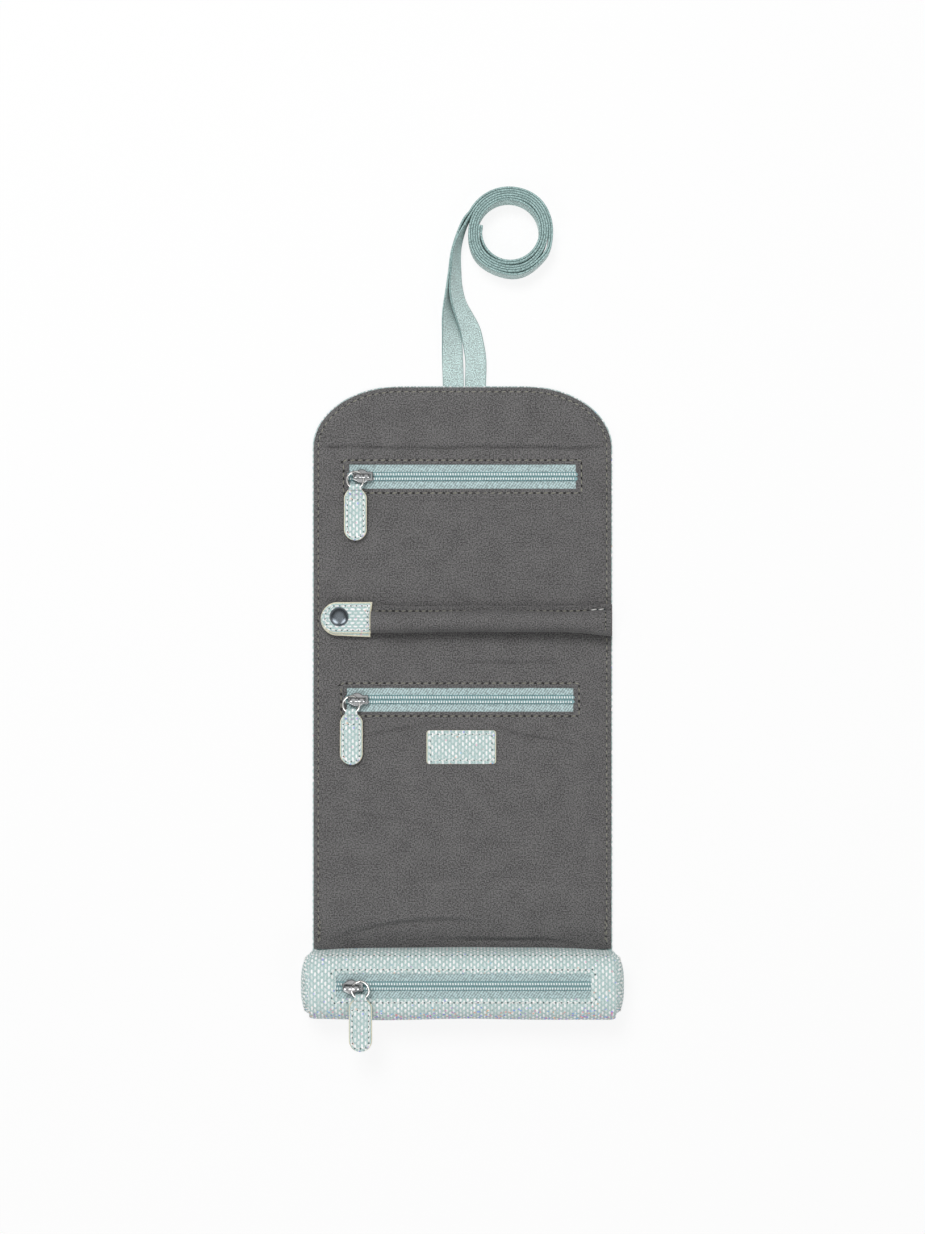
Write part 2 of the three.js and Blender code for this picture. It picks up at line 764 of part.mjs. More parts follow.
// The stretch of a strap from under the flap to the coil, turning from flat to on edge.
function strapLead(route, lane) {
  const angle = coilEndTurn * 2 * Math.PI;
  const radius = coilRadius(lane, coilEndTurn);
  const gap = new THREE.Vector2(-Math.sin(angle), Math.cos(angle)).multiplyScalar(strapJointGap);
  const end = [
    coilCentreX + radius * Math.cos(angle) + gap.x,
    coilCentreRise + radius * Math.sin(angle) + gap.y,
    1,
  ];
  const all = [...route, end];
  const middle = leatherThickness + plyGap + strapThickness / 2;
  const points = all.map(([x, rise, lean]) => {
    const angleUp = (lean * Math.PI) / 2;
    const z = edgeHeight * Math.sin(angleUp) + middle * Math.cos(angleUp);
    return new THREE.Vector3(x, along(0) + rise, z);
  });
  const curve = new THREE.CatmullRomCurve3(points);
  const count = leadStepsPerPoint * route.length;
  const rings = [];
  for (let i = 0; i <= count; i++) {
    const point = curve.getPoint(i / count);
    const travel = curve.getTangent(i / count).setZ(0).normalize();
    const step = (i / count) * route.length;
    const low = Math.min(route.length - 1, Math.floor(step));
    const lean = THREE.MathUtils.lerp(all[low][2], all[low + 1][2], step - low);
    const across = new THREE.Vector3(-travel.y, travel.x, 0);
    rings.push(strapRing(point, across, (lean * Math.PI) / 2));
  }
  return loft(rings);
}

// The least gap between two stretches of coil, or within one, half a turn or more apart.
function leastGap(one, other) {
  let least = Infinity;
  one.forEach((p, i) =>
    other.forEach((q, j) => {
      const apart = one !== other || Math.abs(i - j) > coilStepsPerTurn / 2;
      if (apart) least = Math.min(least, p.distanceTo(q) - strapThickness);
    }),
  );
  return least;
}

// Both ties, on the flap.
function ties(body) {
  const left = strapCoil(1);
  const right = strapCoil(0);
  piece(body, "tie_left_lead", strapLead(leftRoute, 1), leather);
  piece(body, "tie_left_coil", left.shape, leather);
  piece(body, "tie_right_lead", strapLead(rightRoute, 0), leather);
  piece(body, "tie_right_coil", right.shape, leather);
  const own = Math.min(leastGap(left.points, left.points), leastGap(right.points, right.points));
  const between = leastGap(left.points, right.points);
  console.log(`coil gaps: ${own.toFixed(2)} mm to itself, ${between.toFixed(2)} mm to the other`);
}

const upperZip = {
  station: upperZipStation,
  centre: upperZipCentre,
  length: panelZipLength,
  inset: upperSliderInset,
  tapeTop,
  ringSide: -1,
  ringDrop: upperRingDrop,
  restHeight: panelThickness + tabLift,
};
const middleZip = {
  ...upperZip,
  station: middleZipStation,
  centre: middleZipCentre,
  inset: middleSliderInset,
  ringDrop: middleRingDrop,
};
const pouchZip = {
  station: pouchZipStation,
  centre: pouchZipCentre,
  length: pouchZipLength,
  inset: pouchSliderInset,
  tapeTop: pouchTapeTop,
  ringSide: 1,
  ringDrop: pouchRingDrop,
  restHeight: pouchHeight + pouchTabLift,
};

const flap = section("flap", 0, creaseStation, null, strapRootLength + seamAllowance);
const upperPanel = section("upper", creaseStation, upperEnd, upperZip);
const ringPanel = section("ring", upperEnd, ringEnd);
const middlePanel = section("middle", ringEnd, middleEnd, middleZip);
section("lower", middleEnd, lowerEnd);
section("last", lowerEnd, lastEnd);
const pouchBody = pouch();

zipOn(upperPanel, "upper", upperZip);
zipOn(middlePanel, "middle", middleZip);
zipOn(pouchBody, "pouch", pouchZip);

const patch = roundedRectangle(
  labelCentre,
  along(labelStation),
  labelWidth,
  labelHeight,
  labelCornerRadius,
  labelCornerSteps,
);
const patchBottom = panelThickness + plyGap;
const patchShape = plate(new THREE.Shape(patch), patchBottom, patchBottom + labelThickness);
piece(middlePanel, "label_patch", patchShape, leather);

ringBar();
const snapX = barLeft - barClearance - snapTabLength + snapReach;
snapTab(snapStud(ringPanel, snapX, along(snapTabStation)));
ties(flap);

export default root;
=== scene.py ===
"""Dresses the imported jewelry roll: leather, suede lining, zips, ring bar, pouch and tie straps.

Sizes are in millimetres in the row frame and become metres where a mesh is made.
"""

import logging
import math
from collections.abc import Callable
from dataclasses import dataclass, field, replace
from enum import Enum

import bpy
import numpy as np
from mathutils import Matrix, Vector


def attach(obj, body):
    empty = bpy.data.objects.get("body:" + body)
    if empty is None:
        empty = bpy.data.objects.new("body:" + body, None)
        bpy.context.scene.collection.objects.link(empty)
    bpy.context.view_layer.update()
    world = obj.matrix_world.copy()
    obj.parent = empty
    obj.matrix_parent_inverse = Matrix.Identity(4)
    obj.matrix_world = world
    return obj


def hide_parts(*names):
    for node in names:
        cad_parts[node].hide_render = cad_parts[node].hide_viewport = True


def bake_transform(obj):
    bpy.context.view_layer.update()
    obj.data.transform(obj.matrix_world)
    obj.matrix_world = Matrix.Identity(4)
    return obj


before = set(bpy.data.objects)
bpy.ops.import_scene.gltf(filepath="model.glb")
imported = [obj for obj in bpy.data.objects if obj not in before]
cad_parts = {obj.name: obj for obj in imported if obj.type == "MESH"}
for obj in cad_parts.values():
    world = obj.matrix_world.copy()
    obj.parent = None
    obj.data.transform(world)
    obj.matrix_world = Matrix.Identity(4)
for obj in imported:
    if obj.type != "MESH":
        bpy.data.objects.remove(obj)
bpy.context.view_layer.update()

log = logging.getLogger("jewelry_roll")
logging.basicConfig(level=logging.INFO, format="%(name)s: %(message)s")

MM = 0.001
TURN = 2 * math.pi

Point = tuple[float, float, float]
Flat = tuple[float, float]
Tree = bpy.types.NodeTree
Node = bpy.types.Node


def linear(hex_colour: str, shade: float = 1.0) -> Point:
    """Turns an sRGB hex colour into the linear colour that the shaders take.

    Args:
        hex_colour: Six hex digits after a hash.
        shade: How much of its light it keeps; no channel gets past one.

    Returns:
        Red, green and blue.
    """
    parts = [int(hex_colour[i : i + 2], 16) / 255 for i in (1, 3, 5)]
    light = [c / 12.92 if c <= 0.04045 else ((c + 0.055) / 1.055) ** 2.4 for c in parts]
    return tuple(min(1.0, c * shade) for c in light)


def ease(x: np.ndarray | float, low: float, high: float) -> np.ndarray:
    """Eases from 0 at low to 1 at high."""
    t = np.clip((np.asarray(x, float) - low) / (high - low), 0, 1)
    return t * t * (3 - 2 * t)


def hump(x: np.ndarray | float, middle: float, width: float) -> np.ndarray:
    """A soft hump: 1 in its middle, and next to nothing past twice its width."""
    return np.exp(-(((x - middle) / width) ** 2))


def circle(count: int) -> np.ndarray:
    """Angles evenly spread round a circle, in radians."""
    return np.arange(count) / count * TURN


def travel(path: np.ndarray) -> np.ndarray:
    """How far along a path each of its points is."""
    return np.concatenate([[0], np.cumsum(np.linalg.norm(np.diff(path, axis=0), axis=1))])


def pairs(rows: np.ndarray, columns: np.ndarray) -> np.ndarray:
    """Flat coordinates of a grid, from the place of each row and of each column."""
    return np.stack(np.broadcast_arrays(rows[:, None], columns[None, :]), axis=-1)


def filled(fixed: list[float], gap: float) -> np.ndarray:
    """Sorted places with more put between them, so that none are further apart than a gap.

    Args:
        fixed: The places that are kept, sorted.
        gap: The widest gap that stays.

    Returns:
        All the places.
    """
    out = [fixed[0]]
    for value in fixed[1:]:
        count = max(1, math.ceil((value - out[-1]) / gap))
        out += list(np.linspace(out[-1], value, count + 1)[1:])
    return np.array(out)


def feed(tree: Tree, node: Node, inputs: dict | tuple | list) -> None:
    """Sets or links some of a node's inputs.

    Args:
        tree: The node tree that it is in.
        node: The node.
        inputs: For each input, by name or in order, a value, a socket to link from, or a node
            whose first output is meant.
    """
    for key, value in inputs.items() if isinstance(inputs, dict) else enumerate(inputs):
        if isinstance(value, Node):
            value = value.outputs[0]
        if isinstance(value, bpy.types.NodeSocket):
            tree.links.new(value, node.inputs[key])
        else:
            node.inputs[key].default_value = value


def add_node(
    tree: Tree,
    kind: str,
    inputs: dict | tuple | list = (),
    stops: list[tuple[float, Point]] | None = None,
    **settings,
) -> Node:
    """Adds a node with its settings, its socket values and its links.

    Args:
        tree: The node tree that gets it.
        kind: The node's type, without the ShaderNode that it starts with.
        inputs: Its inputs, as feed takes them.
        stops: The places and the linear colours of a colour ramp's stops.
        **settings: The node's own properties.

    Returns:
        The new node.
    """
    made = tree.nodes.new("ShaderNode" + kind)
    for name, value in settings.items():
        setattr(made, name, value)
    if stops:
        ramp = made.color_ramp.elements
        ramp[0].position, ramp[1].position = stops[0][0], stops[-1][0]
        for position, _ in stops[1:-1]:
            ramp.new(position)
        for stop, (_, colour) in zip(ramp, stops):
            stop.color = (*colour, 1.0)
    feed(tree, made, inputs)
    return made


@dataclass(frozen=True)
class Finish:
    """What every finish has: a name, a colour and how rough and shiny it is."""

    name: str
    colour: str
    roughness: float = 0.6
    metallic: float = 0.0
    ior: float = 1.5
    sheen: float = 0.0
    sheen_roughness: float = 0.4
    coat: float = 0.0

    def material(self) -> bpy.types.Material:
        """Makes the material once and returns it from then on.

        Returns:
            The material.
        """
        known = bpy.data.materials.get(self.name)
        if known:
            return known
        made = bpy.data.materials.new(self.name)
        made.use_nodes = True
        colour = (*linear(self.colour), 1.0)
        made.diffuse_color = colour
        shader = made.node_tree.nodes["Principled BSDF"]
        values = {
            "Base Color": colour,
            "Roughness": self.roughness,
            "Metallic": self.metallic,
            "Sheen Weight": self.sheen,
            "Sheen Roughness": self.sheen_roughness,
            "Coat Weight": self.coat,
        }
        if not self.metallic:
            values["IOR"] = self.ior
        feed(made.node_tree, shader, values)
        self.detail(made.node_tree, shader)
        return made

    def detail(self, tree: Tree, shader: Node) -> None:
        """Adds the finish's own pattern; a plain finish has a fine mottle half a millimetre wide.

        Args:
            tree: The material's nodes.
            shader: Its surface shader.
        """
        place = self.millimetres(tree)
        grain = add_node(tree, "TexNoise", {"Vector": place, "Scale": 1 / 0.5, "Detail": 3})
        self.pattern(tree, shader, grain, (0.93, 1.07), grain, 0.01)

    @staticmethod
    def millimetres(tree: Tree) -> Node:
        """The piece's own flat coordinates, which its mesh holds in metres, as millimetres."""
        place = add_node(tree, "UVMap", uv_map="flat")
        return add_node(tree, "VectorMath", {0: place, "Scale": 1 / MM}, operation="SCALE")

    def pattern(
        self,
        tree: Tree,
        shader: Node,
        amount: Node | bpy.types.NodeSocket,
        shades: Flat,
        height: Node | bpy.types.NodeSocket,
        relief: float,
        spread: float = 0.2,
    ) -> None:
        """Varies the colour between a darker and a lighter shade, and raises the surface.

        Args:
            tree: The material's nodes.
            shader: Its surface shader.
            amount: Where the colour is lighter.
            shades: The two shades, as shares of the colour's own light.
            height: Where the surface stands proud.
            relief: How far it does where height is one.
            spread: How far from a half the amount is darkest or lightest.
        """
        places = (0.5 - spread, 0.5 + spread)
        stops = [(place, linear(self.colour, shade)) for place, shade in zip(places, shades)]
        colour = add_node(tree, "ValToRGB", (amount,), stops)
        raised = {"Height": height, "Distance": relief * MM, "Strength": 1.0}
        feed(tree, shader, {"Base Color": colour, "Normal": add_node(tree, "Bump", raised)})


@dataclass(frozen=True)
class PrintedLeather(Finish):
    """Goat leather, embossed like a coarse weave and foil-printed on the raised floats.

    The floats are pearly white dashes that stand a little proud of the aqua ground. Specks of
    the foil get painted glints in colour, mostly where the leather turns down at the pouch's front.
    """

    pitch: Flat = (1.8, 3.3)
    float_size: Flat = (1.2, 2.5)
    float_colour: str = "#FFFFFF"
    float_gloss: float = 0.38
    squareness: float = 2.6
    wander: float = 0.9
    wander_size: float = 2.5
    grain: float = 0.35
    ground: tuple[Flat, ...] = ((0.34, 0.6), (0.45, 0.99), (0.64, 1.24))
    relief: float = 0.16
    # Painted glints: coloured specks of the foil, more and purer where the leather faces the front.
    flake: float = 0.85
    flat_glints: float = 0.01
    tilted_glints: float = 0.14
    glint_colours: tuple[str, ...] = ("#3F68F0", "#8B6BF5", "#F580A8", "#FFA94E", "#5FC8F5", "#4F70F0")

    def detail(self, tree: Tree, shader: Node) -> None:
        """Draws the floats over a fine grain, and the painted glints over both.

        Args:
            tree: The material's nodes.
            shader: Its surface shader.
        """
        place = self.wandering(tree)
        near, chance = self.floats(tree, place)
        grain = add_node(tree, "TexNoise", {"Vector": place, "Scale": 1 / self.grain, "Detail": 3})
        ragged = add_node(tree, "Math", (grain, 0.9, near), operation="MULTIPLY_ADD")
        edge = {"Value": ragged, "From Min": 0.95, "From Max": 1.45, "To Min": 1.0, "To Max": 0.0}
        mask = add_node(tree, "MapRange", edge)
        worn = add_node(tree, "MapRange", {"Value": chance, "From Max": 0.7, "To Min": 0.4})
        printed = add_node(tree, "Math", (mask, worn), operation="MULTIPLY")
        stops = [(position, linear(self.colour, shade)) for position, shade in self.ground]
        ground = add_node(tree, "ValToRGB", (grain,), stops)
        foil = {0: printed, 6: ground, 7: (*linear(self.float_colour), 1.0)}
        foiled = add_node(tree, "Mix", foil, data_type="RGBA")
        glinting, flash = self.painted_glints(tree, place)
        glint_mix = {0: glinting, 6: foiled.outputs[2], 7: flash}
        colour = add_node(tree, "Mix", glint_mix, data_type="RGBA")
        shine = {"Value": printed, "To Min": self.roughness, "To Max": self.float_gloss}
        gloss = add_node(tree, "MapRange", shine)
        height = add_node(tree, "Math", (grain, 0.25, mask), operation="MULTIPLY_ADD")
        raised = {"Height": height, "Distance": self.relief * MM, "Strength": 1.0}
        bump = add_node(tree, "Bump", raised)
        looks = {"Base Color": colour.outputs[2], "Roughness": gloss, "Normal": bump}
        feed(tree, shader, looks)

    def wandering(self, tree: Tree) -> Node:
        """Flat coordinates in millimetres, pushed about a little so that no row is straight.

        Args:
            tree: The material's nodes.

        Returns:
            The node that gives them.
        """
        place = self.millimetres(tree)
        soft = {"Vector": place, "Scale": 1 / self.wander_size, "Detail": 1.0}
        noise = add_node(tree, "TexNoise", soft)
        half = (0.5, 0.5, 0.5)
        moved = add_node(tree, "VectorMath", (noise.outputs[1], half), operation="SUBTRACT")
        moved = add_node(tree, "VectorMath", {0: moved, "Scale": self.wander}, operation="SCALE")
        return add_node(tree, "VectorMath", (place, moved))

    def floats(self, tree: Tree, place: Node) -> tuple[Node, Node]:
        """Lays the floats out in columns, each half a float higher than the one before it.

        Args:
            tree: The material's nodes.
            place: Where on the leather, in millimetres.

        Returns:
            How far from its float's middle a place is, and a random value for each float.
        """
        axes = add_node(tree, "SeparateXYZ", (place,))
        numbers: list[Node] = []
        reach = []
        for axis, pitch, size in zip("XY", self.pitch, self.float_size):
            cell = add_node(tree, "Math", (axes.outputs[axis], pitch), operation="DIVIDE")
            if numbers:
                half = add_node(tree, "Math", (numbers[0], 0.5), operation="MULTIPLY")
                cell = add_node(tree, "Math", (cell, half), operation="ADD")
            numbers.append(add_node(tree, "Math", (cell,), operation="FLOOR"))
            away = cell
            for step, value in (
                ("FRACT", 0),
                ("SUBTRACT", 0.5),
                ("MULTIPLY", 2 * pitch / size),
                ("ABSOLUTE", 0),
                ("POWER", self.squareness),
            ):
                away = add_node(tree, "Math", (away, value), operation=step)
            reach.append(away)
        number = add_node(tree, "CombineXYZ", numbers)
        near = add_node(tree, "Math", reach, operation="ADD")
        return near, add_node(tree, "TexWhiteNoise", {"Vector": number})

    def painted_glints(self, tree: Tree, place: Node) -> tuple[Node, Node]:
        """Picks the specks of foil that get a painted glint, more and purer where the leather
        tilts.

        Args:
            tree: The material's nodes.
            place: Where on the leather, in millimetres.

        Returns:
            How much of the painted glint shows, and its colour.
        """
        # Painted glint: its share grows where the normal turns towards the front.
        facing = add_node(tree, "NewGeometry")
        lean = add_node(tree, "SeparateXYZ", (facing.outputs["Normal"],))
        lot = {"Value": lean.outputs["Y"], "From Min": -0.2, "From Max": -0.7}
        lot |= {"To Min": self.flat_glints, "To Max": self.tilted_glints}
        tilted = add_node(tree, "MapRange", lot)
        grid = (self.flake, self.flake, 1.0)
        flake = add_node(tree, "VectorMath", (place, grid), operation="SNAP")
        chance = add_node(tree, "TexWhiteNoise", {"Vector": flake})
        hue = add_node(tree, "SeparateColor", (chance.outputs["Color"],))
        last = len(self.glint_colours) - 1
        stops = [(k / last, linear(colour)) for k, colour in enumerate(self.glint_colours)]
        flash = add_node(tree, "ValToRGB", (hue.outputs[1],), stops)
        pure = {"Value": tilted, "From Max": self.tilted_glints, "To Min": 0.4}
        purity = add_node(tree, "MapRange", pure)
        glinting = add_node(tree, "Math", (chance, tilted), operation="LESS_THAN")
        return add_node(tree, "Math", (glinting, purity), operation="MULTIPLY"), flash


@dataclass(frozen=True)
class Nap(Finish):
    """A brushed nap: microsuede or suede split, with short fibres that scatter light.

    The fibres give a soft mottle of lighter and darker specks, and cloudier patches where a
    hand has stroked the nap the other way. Real fibres are some 0.05 mm thick, far too fine to
    show, so the specks are drawn 0.5 to 0.7 mm wide, as coarse as they need to be.
    """

    fibre: float = 0.7
    cloud: float = 11.0
    contrast: float = 0.58
    relief: float = 0.05

    def detail(self, tree: Tree, shader: Node) -> None:
        """Mixes the specks of the fibres with the patches of the nap.

        Args:
            tree: The material's nodes.
            shader: Its surface shader.
        """
        place = self.millimetres(tree)
        noises = [
            add_node(tree, "TexNoise", {"Vector": place, "Scale": 1 / size, "Detail": octaves})
            for size, octaves in ((self.fibre, 2), (self.cloud, 3))
        ]
        specks = add_node(tree, "Math", (noises[0], 0.88), operation="MULTIPLY")
        mixed = add_node(tree, "Math", (noises[1], 0.12, specks), operation="MULTIPLY_ADD")
        shades = (1 - self.contrast, 1 + self.contrast)
        self.pattern(tree, shader, mixed, shades, noises[0], self.relief, spread=0.12)


@dataclass(frozen=True)
class WovenTape(Finish):
    """Woven polyester zip tape: slanting ribs of warp over weft, under a faint fuzz.

    The real ribs are about 0.3 mm apart, too fine to show, so they are drawn 1.25 mm apart, and
    the fuzz on them is drawn in tufts of 1.5 mm.
    """

    rib: float = 1.25
    slants: Flat = (0.62, -1.1)
    fuzz: float = 1.5
    relief: float = 0.06

    def detail(self, tree: Tree, shader: Node) -> None:
        """Draws the ribs as two crossing sets of slanting waves.

        Args:
            tree: The material's nodes.
            shader: Its surface shader.
        """
        place = self.millimetres(tree)
        waves = []
        for slant in self.slants:
            mapped = add_node(tree, "Mapping", {"Vector": place, "Rotation": (0.0, 0.0, slant)})
            wave = {"Vector": mapped, "Scale": math.pi / (10 * self.rib)}
            wave |= {"Distortion": 0.6, "Detail": 1.0}
            waves.append(add_node(tree, "TexWave", wave).outputs["Fac"])
        weft = add_node(tree, "Math", (waves[1], 0.15), operation="MULTIPLY")
        weave = add_node(tree, "Math", (waves[0], 0.3, weft), operation="MULTIPLY_ADD")
        fuzz = add_node(tree, "TexNoise", {"Vector": place, "Scale": 1 / self.fuzz, "Detail": 3})
        level = add_node(tree, "Math", (weave, 0.225), operation="SUBTRACT")
        ribs = add_node(tree, "Math", (fuzz, 1.0, level), operation="MULTIPLY_ADD")
        self.pattern(tree, shader, ribs, (0.66, 1.3), ribs, self.relief, spread=0.13)


@dataclass(frozen=True)
class Metal(Finish):
    """Plated zinc, steel or brass: faint scratches and cloudy spots in a bright surface."""

    metallic: float = 1.0
    scratch: float = 0.9
    spot: float = 1.6

    def detail(self, tree: Tree, shader: Node) -> None:
        """Varies the gloss with scratches along the piece, and the colour with cloudy spots.

        Args:
            tree: The material's nodes.
            shader: Its surface shader.
        """
        place = self.millimetres(tree)
        drawn = add_node(tree, "Mapping", {"Vector": place, "Scale": (0.25, 3.0, 1.0)})
        fine = {"Vector": drawn, "Scale": 1 / self.scratch, "Detail": 4}
        scratches = add_node(tree, "TexNoise", fine)
        spots = add_node(tree, "TexNoise", {"Vector": place, "Scale": 1 / self.spot, "Detail": 2})
        self.pattern(tree, shader, spots, (0.88, 1.04), scratches, 0.0015)
        rough = {"Value": scratches, "To Min": self.roughness * 0.8}
        rough["To Max"] = min(1.0, self.roughness * 1.3)
        feed(tree, shader, {"Roughness": add_node(tree, "MapRange", rough)})


@dataclass(frozen=True)
class Thread(Finish):
    """Twisted polyester sewing thread: slanting plies along each stitch."""

    ply: float = 0.5
    twist: float = 0.9
    contrast: float = 0.16
    relief: float = 0.08

    def detail(self, tree: Tree, shader: Node) -> None:
        """Draws the plies as slanting bands.

        Args:
            tree: The material's nodes.
            shader: Its surface shader.
        """
        place = self.millimetres(tree)
        mapped = add_node(tree, "Mapping", {"Vector": place, "Rotation": (0.0, 0.0, self.twist)})
        wave = add_node(tree, "TexWave", {"Vector": mapped, "Scale": math.pi / (10 * self.ply)})
        plies = wave.outputs["Fac"]
        shades = (1 - self.contrast, 1 + self.contrast)
        self.pattern(tree, shader, plies, shades, plies, self.relief)


class Skin(Enum):
    """The finishes that a piece of the roll can have, each with its slot of the record."""

    # Embossed and foil-printed goat leather: white dashes on aqua, with coloured painted glints.
    LEATHER = (
        PrintedLeather("foil_printed_goat_leather", "#B1C8C6", roughness=0.55),
        "aqua_leather",
    )
    # Skived suede split, a matt and plain aqua; cut with a strap knife, so its edge is darker.
    STRAP = (
        Nap("aqua_suede_split", "#BCD0CE", 0.85, sheen=0.1, fibre=0.6, contrast=0.48, cloud=9.0),
        "aqua_leather",
    )
    STRAP_EDGE = (
        Nap("cut_edge_of_suede_split", "#99B3B1", 0.9, fibre=0.7, contrast=0.4, relief=0.1),
        "aqua_leather",
    )
    # The edge's rounded arris, in a darker aqua as painted shade: the dark line between two turns.
    STRAP_ARRIS_SHADE = (
        Nap("painted_shade_on_arris_of_suede_split", "#7C9997", 0.9, fibre=0.7, contrast=0.3, relief=0.1),
        "aqua_leather",
    )
    # Undyed core of the goat leather where it is cut: a thin cream line round each tag.
    RAW_EDGE = (
        Nap("raw_edge_of_goat_leather", "#DDD9C2", 0.85, fibre=0.6, contrast=0.1),
        "aqua_leather",
    )
    # Sanded polyester microsuede: a warm dark grey that is quite without gloss.
    SUEDE = (
        Nap("brushed_microsuede", "#626161", 0.95, sheen=0.1, sheen_roughness=0.5),
        "suede_lining",
    )
    TAPE = (WovenTape("woven_polyester_tape", "#AABEBF", 0.8, sheen=0.1), "zip_tape")
    # The chain-stitched thread that holds the teeth: a darker line of links.
    TAPE_THREAD = (
        Thread("chain_sewing_thread", "#789DA1", 0.8, ply=0.69, contrast=0.5),
        "zip_tape",
    )
    # Drawn nylon wire, coiled and set by heat and half glossy; its humps are near white, a painted
    # highlight.
    TEETH = (Finish("nylon_monofilament", "#F2F7F6", 0.3, coat=0.3), "zip_teeth")
    # The same nylon, darker as painted shade where the tape shades the loop.
    TEETH_SHADE = (Finish("shaded_nylon_monofilament", "#8BAEB1", 0.45), "zip_teeth")
    # Nickel plate: bright on the drawn wire, greyer and less sharp on the die-cast slider.
    NICKEL = (Metal("nickel_plated_steel_wire", "#E3E1DE", 0.16), "nickel_hardware")
    ZINC = (Metal("nickel_plated_die_cast_zinc", "#A6A7A8", 0.2), "nickel_hardware")
    # Pressed brass under dark gunmetal plate: a smoky mirror.
    GUNMETAL = (Metal("gunmetal_plated_brass", "#737A80", 0.26), "snap_metal")
    WHITE_THREAD = (
        Thread("white_polyester_thread", "#FAF9F4", 0.7, contrast=0.08),
        "aqua_leather",
    )
    GREY_THREAD = (Thread("olive_grey_polyester_thread", "#949385", 0.75), "suede_lining")
    # The painted shadow in a needle hole, a dark lens: paler in leather than in the dark lining.
    NEEDLE_HOLE = (Finish("needle_hole_shade", "#262524", 0.95), "suede_lining")
    LEATHER_HOLE = (Finish("needle_hole_shade_in_leather", "#3C4848", 0.9), "aqua_leather")

    def __init__(self, finish: Finish, slot: str) -> None:
        """Keeps what the finish is and the slot that it belongs to."""
        self.finish = finish
        self.slot = slot


